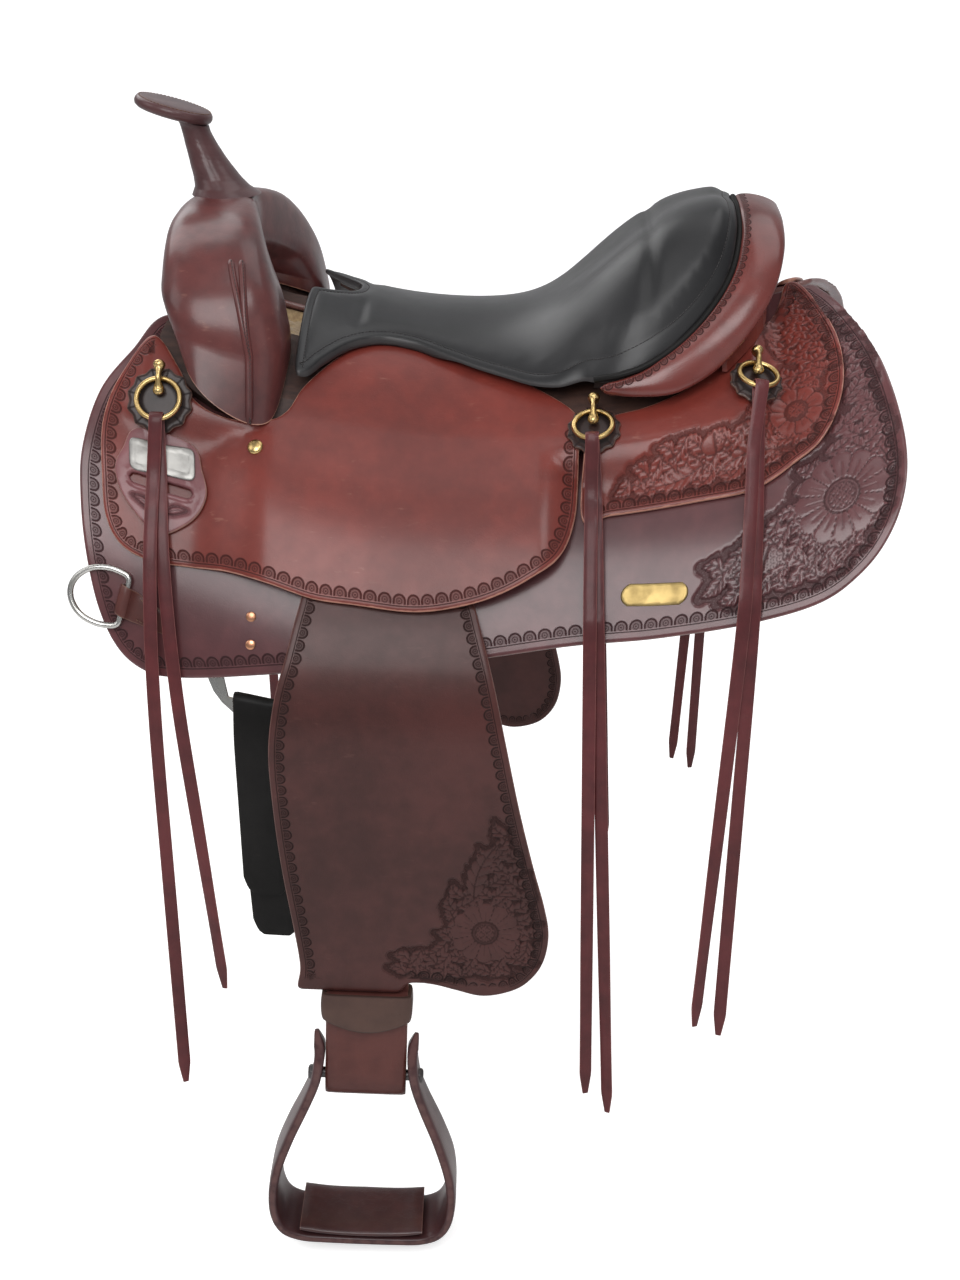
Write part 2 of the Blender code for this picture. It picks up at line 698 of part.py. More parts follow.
bars = bend(flat_slab(spline(bar_pts, 2), 0.045, 0.030), bar_place)
pair_bar = flip_copy(bars)
tree = emit("saddle_tree", bars, WOOD)
boolean(tree, emit("bar_cut", pair_bar, None, group=cutters, smooth=None), "UNION")
boolean(tree, emit("fork_join", fork_solid(0.0), None, group=cutters, smooth=None), "UNION")


def bar_height(x, y, lift):
    """Height of the bars' upper face at a place in plan."""
    fall = 0.0
    while -back(x, fall, lift).y < y and fall < 0.14:
        fall += 0.001
    return back(x, fall, lift).z


def cantle_solid():
    """Dished board of the cantle as sections fanned from side to side, its feet let into the bars."""
    rings = []
    for k in range(9):
        u = k / 8.0 * 6.0
        i = min(int(u), 5)
        a = Vector(ROLL_LINES[i][0]).lerp(Vector(ROLL_LINES[i + 1][0]), u - i)
        y = min(a.y * 0.95, 0.126)
        y_front = y * 0.90
        rear_x = min(a.x + 0.012, BAR_REAR - 0.002)
        high = min(a.z - 0.020, seat_under(a.x - 0.006, y) - 0.004)
        high_front = min(seat_under(a.x - 0.045, y_front) - GROUND_SEAT - 0.004, high - 0.004)
        if y > 0.074:
            foot = bar_height(rear_x, y, SKIRT_TOP + 0.008)
            foot_front = bar_height(a.x - 0.045, y_front, SKIRT_TOP + 0.008)
        else:
            foot = high - 0.050
            foot_front = high_front - 0.014
        rings.append([
            Vector((a.x - 0.004, -y, high)), Vector((rear_x, -y, high - 0.002)), Vector((rear_x, -y, foot)),
            Vector((a.x - 0.045, -y_front, min(foot_front, high_front - 0.003))),
            Vector((a.x - 0.045, -y_front, high_front)),
        ])
    off = [[Vector((p.x, -p.y, p.z)) for p in ring] for ring in rings[1:]]
    return loft(rings[::-1] + off)


boolean(tree, emit("cantle_join", cantle_solid(), None, group=cutters, smooth=None), "UNION")
tree.data.shade_smooth()
tree.data.set_sharp_from_angle(angle=math.radians(35.0))
tree.data.materials.clear()
tree.data.materials.append(WOOD)


emit("fork_cover", fork_shell(FORK_LINE, FORK_LINE + FORK_COVER), CHESTNUT)

# Horn: wrapped neck and round cap
tilt = math.radians(HORN_TILT)
cap_run = Vector((math.cos(tilt), 0.0, -math.sin(tilt)))
cap_up = Vector((math.sin(tilt), 0.0, math.cos(tilt)))
sideways = Vector((0.0, 1.0, 0.0))
cap_centre = Vector((HORN_X, 0.0, HORN_Z))
half_cap = HORN_CAP / 2.0
rings = []
for k, (reach, rise) in enumerate(((0.86, -1.0), (0.97, -0.72), (1.0, 0.0), (0.97, 0.70), (0.88, 1.0))):
    rings.append(rounded(HORN_RADIUS * reach, HORN_RADIUS * 0.93 * reach, cap_run, sideways,
                         cap_centre + cap_up * (half_cap * rise), 20, 2.0))
emit("horn_cap", loft(rings), DARK)

neck_top = cap_centre - cap_up * (half_cap + TOUCH) + cap_run * NECK_BEHIND
neck_foot = Vector((FORK_X - NECK_AHEAD, 0.0, FORK_TOP + FORK_COVER + FORK_LINE + 0.0004))
rings = []
for u, long, wide in ((0.0, 0.0250, 0.0300), (0.22, 0.0222, 0.0250), (0.50, 0.0190, 0.0200), (0.78, 0.0162, 0.0172),
                      (1.0, 0.0158, 0.0175)):
    run = Vector((1.0, 0.0, 0.0)).lerp(cap_run, u).normalized()
    rings.append(rounded(long, wide, run, sideways, neck_foot.lerp(neck_top, u), 16, 2.0))
emit("horn_wrap", loft(rings), DARK)


# Cantle roll and the leather behind the cantle
def roll_station(u):
    """Inner and outer points of the roll, u from 0 at the crest to 1 at the wing's tip."""
    k = u * (len(ROLL_LINES) - 1)
    i = min(int(k), len(ROLL_LINES) - 2)
    ins = spline([Vector(p[0]) for p in ROLL_LINES], 4, False)
    outs = spline([Vector(p[1]) for p in ROLL_LINES], 4, False)
    j = min(int(round(u * (len(ins) - 1))), len(ins) - 1)
    return ins[j], outs[j]


roll_rings = []
for k in range(17):
    u = k / 16.0
    inner, outer = roll_station(u)
    inner2, outer2 = roll_station(min(1.0, u + 0.03))
    inner1, outer1 = roll_station(max(0.0, u - 0.03))
    run = ((inner2 + outer2) - (inner1 + outer1)).normalized()
    if k == 0:
        run = Vector((0.0, 1.0, 0.0))
    span = outer - inner
    span -= run * span.dot(run)
    up = run.cross(span).normalized()
    if up.z < 0.0:
        up = -up
    shrink = 1.0 if u < 0.8 else 1.0 - 0.45 * (u - 0.8) / 0.2
    centre = (inner + outer) / 2.0 - up * 0.002
    ring = rounded((span.length / 2.0 - 0.0017) * shrink, ROLL_THICK / 2.0 * (0.75 + 0.25 * shrink), span.normalized(), up,
                   centre, 12, 2.4)
    roll_rings.append([Vector((p.x, -p.y, p.z)) for p in ring])
off_rings = [[Vector((p.x, -p.y, p.z)) for p in ring] for ring in roll_rings[1:]]
for p in roll_rings[0]:
    p.y = 0.0
emit("cantle_roll", loft(roll_rings[::-1] + off_rings), CHESTNUT, smooth=60.0)


def cantle_back_solid():
    """Leather over the rear of the cantle, from under the roll down to the rear jockeys."""
    rings = []
    for k in range(9):
        u = k / 8.0 * 0.56
        inner, outer = roll_station(u)
        y = inner.y + 0.2 * (outer.y - inner.y)
        x = inner.x + 0.016
        high = inner.z + (outer.z - inner.z) * 0.4 - ROLL_THICK / 2.0 - 0.0085
        foot = max(cantle_foot(x + 0.004, y), cantle_foot(x + 0.012, y)) + 0.0015
        foot = min(foot, high - 0.006)
        mid = (high + foot) / 2.0
        rings.append([
            Vector((x, -y, high)), Vector((x + 0.004, -y, high - 0.0005)), Vector((x + 0.009, -y, mid)),
            Vector((x + 0.010, -y, foot)), Vector((x + 0.006, -y, foot)), Vector((x + 0.005, -y, mid)),
        ])
    off = [[Vector((p.x, -p.y, p.z)) for p in ring] for ring in rings[1:]]
    return loft(rings[::-1] + off)


def cantle_foot(x, y):
    """Height just above the jockey at a place in plan."""
    fall = -0.04
    for k in range(200):
        p = back(x, fall, jockey_top(x, fall) + 0.0012)
        if -p.y >= y:
            break
        fall += 0.001
    return back(x, fall, jockey_top(x, fall) + 0.0012).z


emit("cantle_back", cantle_back_solid(), CHESTNUT)


# Frame that the fenders hang in: a along the horse, b down the leather, c outward
hang_a = back(HANG_X, PIVOT_FALL + 0.005, 0.0292)
hang_b = back(HANG_X, JOCKEY_FALL - 0.003, 0.0292)
down = (hang_b - hang_a).normalized()
outward = Vector((0.0, down.z, -down.y))
if outward.y > 0.0:
    outward = -outward
tilt = math.radians(HANG_TILT)
fore = Vector((1.0, 0.0, 0.0)) * math.cos(tilt) - outward * math.sin(tilt)
outward = (outward * math.cos(tilt) + Vector((1.0, 0.0, 0.0)) * math.sin(tilt)).normalized()
down = down.normalized()
pivot = hang_a - down * 0.005
lift_at = (hang_b - pivot).dot(down) + LIFT_DROP


def hang(a, b, c):
    return pivot + fore * a + down * b + outward * c


def profile(length):
    """Place and outward direction down the hanging leather, length measured from the lift seam."""
    full = math.atan2(-down.y, -down.z)
    lean_in = math.radians(1.5)
    total = full + lean_in
    steps = 24
    p = pivot + down * lift_at
    angle = 0.0
    length = max(length, 0.0)
    ds = length / steps if steps else 0.0
    for k in range(steps):
        s = (k + 0.5) * ds
        angle = total * clamp01(s / FENDER_BEND)
        d = down * math.cos(angle) - outward * math.sin(angle)
        p = p + d * ds
    angle = total * clamp01(length / FENDER_BEND)
    normal = outward * math.cos(angle) + down * math.sin(angle)
    return p, normal


def leg(a, length, c):
    p, normal = profile(length)
    return p + fore * a + normal * c


half = FENDER / 2.0
BEHIND = -half - 0.0009
top_pts = [
    (-0.040, -0.006), (0.040, -0.006), (0.052, 0.040), (0.078, lift_at - 0.050), (0.092, lift_at - 0.020),
    (0.098, lift_at - TOUCH), (-0.052, lift_at - TOUCH), (-0.048, lift_at - 0.020), (-0.044, lift_at - 0.050),
    (-0.041, 0.040),
]
top_flat = flat_slab([Vector(p) for p in top_pts], 0, 0)
pair("fender_top", bend(top_flat, lambda a, b, t: hang(a, b, -half + FENDER * t)), CHESTNUT, pivot.copy())

L = FENDER_LONG
fender_pts = [
    (-0.052, 0.0), (-0.058, 0.030), (-0.066, 0.065), (-0.070, 0.110), (-0.066, 0.165), (-0.059, 0.220),
    (-0.050, 0.272), (-0.044, 0.312), (-0.046, L - 0.003), (-0.041, L), (0.037, L), (0.043, L - 0.002),
    (0.050, L - 0.010), (0.069, L - 0.010), (0.090, L - 0.005), (0.112, L), (0.133, L - 0.004),
    (0.150, L - 0.014), (0.163, L - 0.034), (0.167, L - 0.062), (0.162, L - 0.090), (0.150, 0.205),
    (0.136, 0.152), (0.123, 0.096), (0.111, 0.046), (0.098, 0.0),
]
side_front = spline(fender_pts[:10], 2, False)
side_rear = spline(fender_pts[10:], 2, False)
fender_flat = flat_slab(side_front + side_rear, 0, 0.0275)
lift_origin = hang(0.0, lift_at, half + 0.0003)
pair("fender", bend(fender_flat, lambda a, l, t: leg(a, l, -half + FENDER * t)), CHESTNUT, lift_origin)

# Stirrup leather behind the fender, doubled round the stirrup's bolt
bolt_len = FENDER_LONG + BOLT_DROP
bolt = leg(0.0, bolt_len, -0.004)
shift = STIRRUP_X - bolt.x
bolt += fore * shift
wide = LEATHER_WIDE / 2.0
rings = []
lengths = [0.012, 0.040, 0.070, 0.100, 0.130, 0.200, L - 0.002]
for s in lengths:
    rings.append([leg(shift + k * wide, s, c) for k, c in
                  ((-1, BEHIND), (1, BEHIND), (1, BEHIND - STRAP), (-1, BEHIND - STRAP))])
for s, front, rear in ((L + 0.002, BEHIND, BEHIND - STRAP), (L + 0.004, half, BEHIND - STRAP),
                       (bolt_len - 0.020, 0.004, -0.012), (bolt_len, 0.0085, -0.0165),
                       (bolt_len + 0.012, 0.006, -0.014), (bolt_len + 0.020, -0.001, -0.007)):
    rings.append([leg(shift + k * wide, s, c) for k, c in ((-1, front), (1, front), (1, rear), (-1, rear))])
leather = emit("leather_work", loft(rings), DARK, smooth=None)
bore = cylinder(bolt, fore, BOLT_RADIUS + 0.0008, 0.12, 12)
boolean(leather, emit("bolt_bore", bore, None, group=cutters, smooth=None), "DIFFERENCE")
bm = bmesh.new()
bm.from_mesh(leather.data)
bpy.data.objects.remove(leather, do_unlink=True)
pair("stirrup_leather", bm, DARK, lift_origin)

# Hobble strap round the leathers just below the fender
mid_s = L + 0.017
hob_c = (BEHIND - STRAP + half) / 2.0 - 0.0006


def band(grow, rise, drop, belly, count=16):
    rings = []
    for s in (mid_s - rise, mid_s + drop):
        base = leg(shift, s, hob_c)
        nrm = profile(s)[1]
        rings.append(rounded(wide + grow, 0.0088 + grow, fore, nrm, base, count, 8.0))
    return loft(rings)


strap = emit("hobble_work", band(0.0042, 0.012, 0.013, 0.0), DARK, smooth=None)
boolean(strap, emit("hobble_bore", band(0.0006, 0.030, 0.030, 0.0), None, group=cutters, smooth=None), "DIFFERENCE")
bm = bmesh.new()
bm.from_mesh(strap.data)
bpy.data.objects.remove(strap, do_unlink=True)
pair("hobble_strap", bm, DARK, lift_origin)

# Stirrup: one bent bell with ears, its bolt and the wrapped tread
drop = STIRRUP_TALL
wall = STIRRUP_WALL
half_in = wide + 0.0008 + wall / 2.0
reach = STIRRUP_HALF - wall / 2.0
side_path = [
    (half_in + 0.002, 0.044, 0.007), (half_in, 0.026, 0.019), (half_in + 0.001, 0.010, 0.027),
    (half_in + 0.004, -0.006, 0.031),
    (half_in + 0.012, -0.028, 0.035), (half_in + 0.026, -0.062, 0.043), (reach - 0.001, -0.096, 0.053),
    (reach + 0.001, -drop + 0.038, 0.060), (reach - 0.006, -drop + 0.016, STIRRUP_DEEP),
    (reach - 0.022, -drop + wall / 2.0 + 0.002, STIRRUP_DEEP), (0.030, -drop + wall / 2.0, STIRRUP_DEEP),
]
path = side_path + [(-a, b, c) for a, b, c in side_path[::-1]]
rings = []
plumb = Vector((0.0, 0.0, 1.0)) - fore * fore.z
plumb.normalize()
depth_dir = fore.cross(plumb).normalized()
for i, (a, b, deep) in enumerate(path):
    p0 = path[max(i - 1, 0)]
    p1 = path[min(i + 1, len(path) - 1)]
    run = (fore * (p1[0] - p0[0]) + plumb * (p1[1] - p0[1])).normalized()
    across = run.cross(depth_dir).normalized()
    rings.append(rounded(wall / 2.0, deep / 2.0, across, depth_dir, bolt + fore * a + plumb * b, 8, 4.0))
frame = emit("frame_work", loft(rings), DARK, smooth=None)
pin = cylinder(bolt, fore, BOLT_RADIUS, 2.0 * (half_in + wall / 2.0) + 0.012, 12)
boolean(frame, emit("pin_join", pin, None, group=cutters, smooth=None), "UNION")
bm = bmesh.new()
bm.from_mesh(frame.data)
bpy.data.objects.remove(frame, do_unlink=True)
pair("stirrup_frame", bm, DARK, bolt.copy())

rings = []
for k in range(2):
    high = -drop + wall + 0.0016 + 0.006 * k
    rings.append([bolt + fore * a + plumb * high + depth_dir * b for a, b in
                  ((-0.043, -0.029), (0.043, -0.029), (0.043, 0.029), (-0.043, 0.029))])
pair("stirrup_tread", loft(rings), DARK, bolt.copy())


# Places on the leather where the hardware sits
def site_frame(x, fall, over, lift):
    """Frame on the near side: Y up the leather in a plumb plane, Z outward, X across."""
    def top(px, pf):
        return back(px, pf, over(px, pf))
    step = 0.016
    run = top(x + step, fall) - top(x - step, fall)
    upward = (top(x, fall - step) - top(x, fall + step)).normalized()
    out = run.cross(upward).normalized()
    run = upward.cross(out).normalized()
    centre = top(x, fall) + out * lift
    return Matrix((
        (run.x, upward.x, out.x, centre.x), (run.y, upward.y, out.y, centre.y),
        (run.z, upward.z, out.z, centre.z), (0.0, 0.0, 0.0, 1.0)))


def skirt_top(x, fall):
    return SKIRT_TOP


# Each pair of strings: where the tails end, and the fall at which they leave the jockey and the skirt
STRING_RUNS = {
    "front": (((-0.247, -0.560), (-0.207, -0.462)), 0.243, 0.322),
    "mid": (((0.112, -0.560), (0.132, -0.582)), 0.168, 0.262),
    "rear": (((0.205, -0.480), (0.226, -0.490)), 0.166, 0.268),
}


def string_tail(x, fall, x_end, z_end, leave, last, extra):
    """Route of one tail, down the leathers and then plumb to its tip."""
    z_top = back(x, fall, 0.03).z
    pts = []
    for j in range(1, 7):
        f = fall + (last - fall) * j / 6.0
        if f <= leave:
            lift = jockey_top(x, f) + extra
        else:
            share = (f - leave) / (last - leave)
            lift = jockey_top(x, leave) * (1.0 - share) + SKIRT_TOP * share + extra
        p = back(x, f, lift)
        pts.append(Vector((x + (x_end - x) * (z_top - p.z) / (z_top - z_end), p.y, p.z)))
    low = pts[-1]
    out_y = low.y - 0.006
    x_low = low.x
    for share in (0.18, 0.5, 1.0):
        pts.append(Vector((x_low + (x_end - x_low) * share, out_y, low.z + (z_end - low.z) * share)))
    return pts


RING_TILT = math.radians(14.0)

for name, x, fall, rosette_r, ring_r in SITES:
    frame_at = site_frame(x, fall, jockey_top, 0.0014)
    turn = frame_at.to_3x3()
    across, up_dir, out_dir = turn.col[0].copy(), turn.col[1].copy(), turn.col[2].copy()
    loop = []
    for k in range(24):
        angle = math.tau * k / 24.0
        wave = 1.0 - 0.055 * (0.5 + 0.5 * math.cos(8.0 * angle))
        loop.append(Vector((math.cos(angle), math.sin(angle))) * rosette_r * wave)
    disc = bend(flat_slab(loop, 0, 0), lambda a, b, t: frame_at @ Vector((a, b, ROSETTE * t)))
    pair("rosette_" + name, disc, DARK)

    rise = ROSETTE + TOUCH
    wire = RING_WIRE
    lump = 0.0050
    centre_r = ring_r - wire
    wire_z = rise + wire + 0.0002
    hinge = frame_at @ Vector((0.0, centre_r, wire_z))
    arch_z = rise + 2.0 * wire + 0.0036
    clip_path = [(centre_r + 0.0135, rise + lump * 0.8), (centre_r + 0.0115, rise + lump + 0.0002),
                 (centre_r + 0.0080, rise + lump + 0.0008), (centre_r + 0.0042, arch_z),
                 (centre_r, arch_z + 0.0008), (centre_r - 0.0042, arch_z), (centre_r - 0.0080, rise + lump + 0.0008),
                 (centre_r - 0.0115, rise + lump + 0.0002), (centre_r - 0.0135, rise + lump * 0.8)]
    radii = [0.0026, lump, 0.0042, 0.0024, 0.0024, 0.0024, 0.0042, lump * 0.92, 0.0024]
    clip = round_bar([frame_at @ Vector((0.0, a, b)) for a, b in clip_path], radii, 8)
    pair("ring_clip_" + name, clip, BRASS, smooth=50.0)

    circle = []
    for k in range(16):
        angle = math.tau * k / 16.0
        hang_y = (math.cos(angle) - 1.0) * centre_r
        circle.append(frame_at @ Vector((math.sin(angle) * centre_r, centre_r + hang_y * math.cos(RING_TILT),
                                         wire_z - hang_y * math.sin(RING_TILT))))
    pair("ring_" + name, round_bar(circle, wire, 6, True), BRASS, hinge, smooth=60.0)

    hung = circle[8]
    (end_a, end_b), leave, last = STRING_RUNS[name]
    fold = wire + 0.0018 + STRING_THICK / 2.0
    start = fall + centre_r + 0.010
    first = string_tail(x - 0.0015, start, end_a[0], end_a[1], leave, last, 0.0105)
    second = string_tail(x + 0.0015, start, end_b[0], end_b[1], leave, last, 0.0072)
    over = [
        hung + out_dir * fold - up_dir * 0.004, hung + out_dir * fold, hung + (out_dir + up_dir) * fold * 0.72,
        hung + up_dir * fold, hung + (up_dir - out_dir) * fold * 0.72, hung - out_dir * fold,
    ]
    widths = [STRING_WIDE * 0.45] + [STRING_WIDE] * (len(first) + len(over) + len(second) - 2) + [STRING_WIDE * 0.45]
    whole = first[::-1] + over + second
    pair("strings_" + name, ribbon(whole, across, widths, STRING_THICK), LACE, hung.copy())

# Latigo keeper: a leaf of leather with a slot, below the front rings
keep_x = SITES[0][1] + 0.004
leaf = [
    (keep_x - 0.022, 0.146), (keep_x + 0.022, 0.146), (keep_x + 0.033, 0.166), (keep_x + 0.038, 0.184),
    (keep_x + 0.030, 0.203), (keep_x + 0.012, 0.219), (keep_x, 0.223), (keep_x - 0.012, 0.219),
    (keep_x - 0.030, 0.203), (keep_x - 0.038, 0.184), (keep_x - 0.033, 0.166),
]
keeper = emit("keeper_work", flat_slab(spline(leaf, 2), 0.015, 0.015), DARK, smooth=None)
slot = flat_slab([Vector(p) for p in ((keep_x - 0.026, 0.186), (keep_x - 0.022, 0.182), (keep_x + 0.022, 0.182),
                                      (keep_x + 0.026, 0.186), (keep_x + 0.022, 0.190), (keep_x - 0.022, 0.190))],
                 0, 0)
for v in slot.verts:
    v.co.z = v.co.z * 3.0 - 1.0
face_out(slot)
boolean(keeper, emit("keeper_slot", slot, None, group=cutters, smooth=None), "DIFFERENCE")
bm = bmesh.new()
bm.from_mesh(keeper.data)
bpy.data.objects.remove(keeper, do_unlink=True)
bmesh.ops.triangulate(bm, faces=bm.faces[:])
bend(bm, lambda a, b, t: back(a, b, jockey_top(a, b) + 0.0014 + 0.0036 * t))
pair("latigo_keeper", bm, DARK)

# Breast-collar dees on the skirts' front corners
dee_at = site_frame(DEE_X, DEE_FALL, skirt_top, DEE_WIRE + DEE_CLEAR)
dee_turn = Matrix.Rotation(math.radians(-14.0), 4, "Z")
dee_pts = [(0.0, 0.018), (0.0, -0.018), (-0.006, -0.0222), (-0.018, -0.0235), (-0.032, -0.0200), (-0.042, -0.0110),
           (-0.0455, 0.0), (-0.042, 0.0110), (-0.032, 0.0200), (-0.018, 0.0235), (-0.006, 0.0222)]
dee_path = [dee_at @ dee_turn @ Vector((a, b, 0.0)) for a, b in dee_pts]
pair("breast_dee", round_bar(dee_path, DEE_WIRE, 8, True), STEEL, dee_at @ Vector((0.0, 0.0, 0.0)), smooth=60.0)


def chape():
    """Leather tab that is sewn to the skirt and folded round the dee's straight bar."""
    around = DEE_WIRE + DEE_CLEAR / 2.0 + CHAPE / 2.0
    high = DEE_WIRE + DEE_CLEAR
    path = [(0.034, -0.0016), (0.020, 0.0006), (around + 0.004, 0.0022)]
    for k in range(1, 8):
        angle = math.radians(20.0 + 160.0 * (k - 1) / 6.0)
        path.append((around * math.cos(angle), high + around * math.sin(angle)))
    path.append((-around, -0.0016))
    rings = []
    for i, (a, c) in enumerate(path):
        a0, c0 = path[max(i - 1, 0)]
        a1, c1 = path[min(i + 1, len(path) - 1)]
        run = Vector((a1 - a0, 0.0, c1 - c0)).normalized()
        out = Vector((-run.z, 0.0, run.x)) * (CHAPE / 2.0)
        half_wide = 0.0125 if i > 2 else 0.0085 + 0.0020 * i
        ring = []
        for side, k in ((-1, -1), (1, -1), (1, 1), (-1, 1)):
            spot = dee_turn @ Vector((a + out.x * k, side * half_wide, 0.0))
            ring.append(back(DEE_X + spot.x, DEE_FALL - spot.y, SKIRT_TOP + c + out.z * k))
        rings.append(ring)
    return loft(rings)


for skirt_side in ("near", "off"):
    tab = chape() if skirt_side == "near" else flip_copy(chape())
    skirt_piece = bpy.data.objects["skirt_" + skirt_side]
    boolean(skirt_piece, emit("chape_join", tab, None, group=cutters, smooth=None), "UNION")
    skirt_piece.data.shade_smooth()
    skirt_piece.data.set_sharp_from_angle(angle=math.radians(35.0))

# Cinch rigging plates held between skirt and fleece
bar_fall = SKIRT_FALL_FRONT + RIG_DROP
rig = []
for k in range(13):
    angle = math.pi * k / 12.0
    rig.append((RIG_X + RIG_HALF * math.cos(angle), bar_fall - 0.029 + 0.036 * math.sin(angle)))
rig_outer = [Vector(p) for p in [(RIG_X - RIG_HALF, bar_fall - 0.085), (RIG_X + RIG_HALF, bar_fall - 0.085)] + rig]
slot_half = RIG_HALF - 0.014
rig_hole = [Vector(p) for p in [(RIG_X - slot_half, bar_fall - 0.047), (RIG_X + slot_half, bar_fall - 0.047),
                                (RIG_X + slot_half, bar_fall - 0.025), (RIG_X + slot_half - 0.004, bar_fall - 0.009),
                                (RIG_X - slot_half + 0.004, bar_fall - 0.009), (RIG_X - slot_half, bar_fall - 0.025)]]
plate = emit("rig_work", flat_slab(rig_outer, 0.030, 0.022), STEEL, smooth=None)
hole = flat_slab(rig_hole, 0, 0)
for v in hole.verts:
    v.co.z = v.co.z * 3.0 - 1.0
face_out(hole)
boolean(plate, emit("rig_slot", hole, None, group=cutters, smooth=None), "DIFFERENCE")
bm = bmesh.new()
bm.from_mesh(plate.data)
bpy.data.objects.remove(plate, do_unlink=True)
bmesh.ops.triangulate(bm, faces=bm.faces[:])
rig_under = FLEECE - RIG_PLATE + LAY * 0.2
bend(bm, lambda a, b, t: back(a, b, rig_under + (RIG_PLATE - 0.0002) * t))
pair("rigging_plate", bm, STEEL)

# Latigo on the near plate and billet on the off plate, each folded over the plate's lower bar
bar_at = back(RIG_X, bar_fall, rig_under + RIG_PLATE / 2.0)
bar_out = (back(RIG_X, bar_fall, 0.01) - back(RIG_X, bar_fall, 0.0)).normalized()
bar_up = (back(RIG_X, bar_fall - 0.004, 0.0) - back(RIG_X, bar_fall + 0.004, 0.0)).normalized()
bar_run = (back(RIG_X + 0.01, bar_fall, 0.005) - back(RIG_X - 0.01, bar_fall, 0.005)).normalized()


def strap_path(front_drop, rear_drop):
    """Route of a strap from its front end up, over the bar and down to its rear end."""
    front_end = bar_at.z - front_drop
    rear_end = bar_at.z - rear_drop
    clear = RIG_PLATE / 2.0 + STRAP_CLEAR + 0.0017
    tall = 0.0090 + STRAP_CLEAR + 0.0034
    fold = [bar_at + bar_out * clear - bar_up * 0.016, bar_at + bar_out * clear + bar_up * (tall - 0.006),
            bar_at + bar_out * clear * 0.7 + bar_up * (tall - 0.001), bar_at + bar_up * tall,
            bar_at - bar_out * clear * 0.7 + bar_up * (tall - 0.001), bar_at - bar_out * clear + bar_up * (tall - 0.006),
            bar_at - bar_out * clear - bar_up * 0.016]
    first = [Vector((RIG_X + 0.002, fold[0].y - 0.001, front_end)),
             Vector((RIG_X + 0.001, fold[0].y - 0.002, (front_end + bar_at.z) / 2.0)),
             Vector((RIG_X, fold[0].y - 0.001, bar_at.z - 0.030))]
    last = [Vector((RIG_X, fold[0].y + 0.0045, bar_at.z - 0.030)),
            Vector((RIG_X + 0.003, fold[0].y + 0.0035, (rear_end + bar_at.z) / 2.0)),
            Vector((RIG_X + 0.008, fold[0].y + 0.0035, rear_end))]
    return spline(first + fold[:1], 2, False) + fold[1:-1] + spline(fold[-1:] + last, 2, False)


latigo = ribbon(strap_path(0.1635, 0.2065), bar_run, LATIGO_WIDE, 0.0030)
emit("latigo_strap", latigo, DARK, bar_at.copy())
billet = flip_copy(ribbon(strap_path(0.2215, 0.2415), bar_run, LATIGO_WIDE, 0.0030))
emit("off_billet", billet, DARK, Vector((bar_at.x, -bar_at.y, bar_at.z)))
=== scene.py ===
import math

import bmesh
import bpy
import numpy as np
from mathutils import Matrix, Vector
from mathutils.geometry import delaunay_2d_cdt


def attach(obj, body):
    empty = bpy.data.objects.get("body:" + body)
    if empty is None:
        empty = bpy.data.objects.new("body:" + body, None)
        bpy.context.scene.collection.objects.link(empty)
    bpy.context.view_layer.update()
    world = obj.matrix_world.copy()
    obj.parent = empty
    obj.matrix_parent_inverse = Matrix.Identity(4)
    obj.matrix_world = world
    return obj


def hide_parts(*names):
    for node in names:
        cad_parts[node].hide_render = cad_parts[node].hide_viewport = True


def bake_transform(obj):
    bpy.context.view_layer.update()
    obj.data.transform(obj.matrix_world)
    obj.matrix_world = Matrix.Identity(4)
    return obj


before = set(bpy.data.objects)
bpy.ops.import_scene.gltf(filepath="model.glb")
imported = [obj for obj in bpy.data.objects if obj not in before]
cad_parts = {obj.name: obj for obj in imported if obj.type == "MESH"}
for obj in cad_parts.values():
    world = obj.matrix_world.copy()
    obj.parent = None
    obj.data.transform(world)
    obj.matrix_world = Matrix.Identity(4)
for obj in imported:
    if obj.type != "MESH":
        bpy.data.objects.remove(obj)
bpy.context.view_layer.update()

MM = 0.001

# The horse's back and the leathers over it, as in the part's source
BACK_MID = 0.042
BACK_ROCK = 0.070
BACK_LOW_X = 0.030
BACK_SPAN = 0.330
BACK_RADIUS = 0.380
BACK_EDGE = 0.045
BACK_PITCH = 25.0
FLEECE = 0.0118
SKIRT = 0.0050
JOCKEY = 0.0040
FENDER = 0.0045
STRAP = 0.0040
LAY = 0.0005
SKIRT_TOP = FLEECE + LAY + SKIRT
BAR_THICK = 0.0155
LEG_ROOM = 0.0162
FORK_X = -0.205
FORK_TOP = 0.1835
FORK_LINE = 0.0018
FORK_COVER = 0.0038
SEAT_LOW = 0.095
SEAT_EDGE = 0.0042
SEAT_CROWN = 0.0090
RING_WIRE = 0.0022
ROSETTE = 0.0030
STRING_WIDE = 0.0110
STRING_THICK = 0.0018
STIRRUP_WALL = 0.0090
STIRRUP_DROP = 0.1641
RAISED = 1.05 * MM
CUT_DEEP = 0.50 * MM
RING_TILT = math.radians(14.0)


# Camera
def place_camera():
    view = bpy.data.cameras.new("camera")
    view.lens = 50.625
    view.sensor_width = 36.0
    camera = bpy.data.objects.new("camera", view)
    camera.location = (0.10, -1.6, 0.416)
    camera.rotation_euler = (math.radians(68.0), 0.0, math.radians(3.5))
    bpy.context.scene.collection.objects.link(camera)
    bpy.context.scene.camera = camera


place_camera()


def clamp01(value):
    return max(0.0, min(1.0, value))


def ease(value):
    t = clamp01(value)
    return t * t * (3.0 - 2.0 * t)


def ease_all(values):
    t = np.clip(values, 0.0, 1.0)
    return t * t * (3.0 - 2.0 * t)


def window(value, low, high, fade):
    return ease((value - low + fade) / fade) * ease((high + fade - value) / fade)


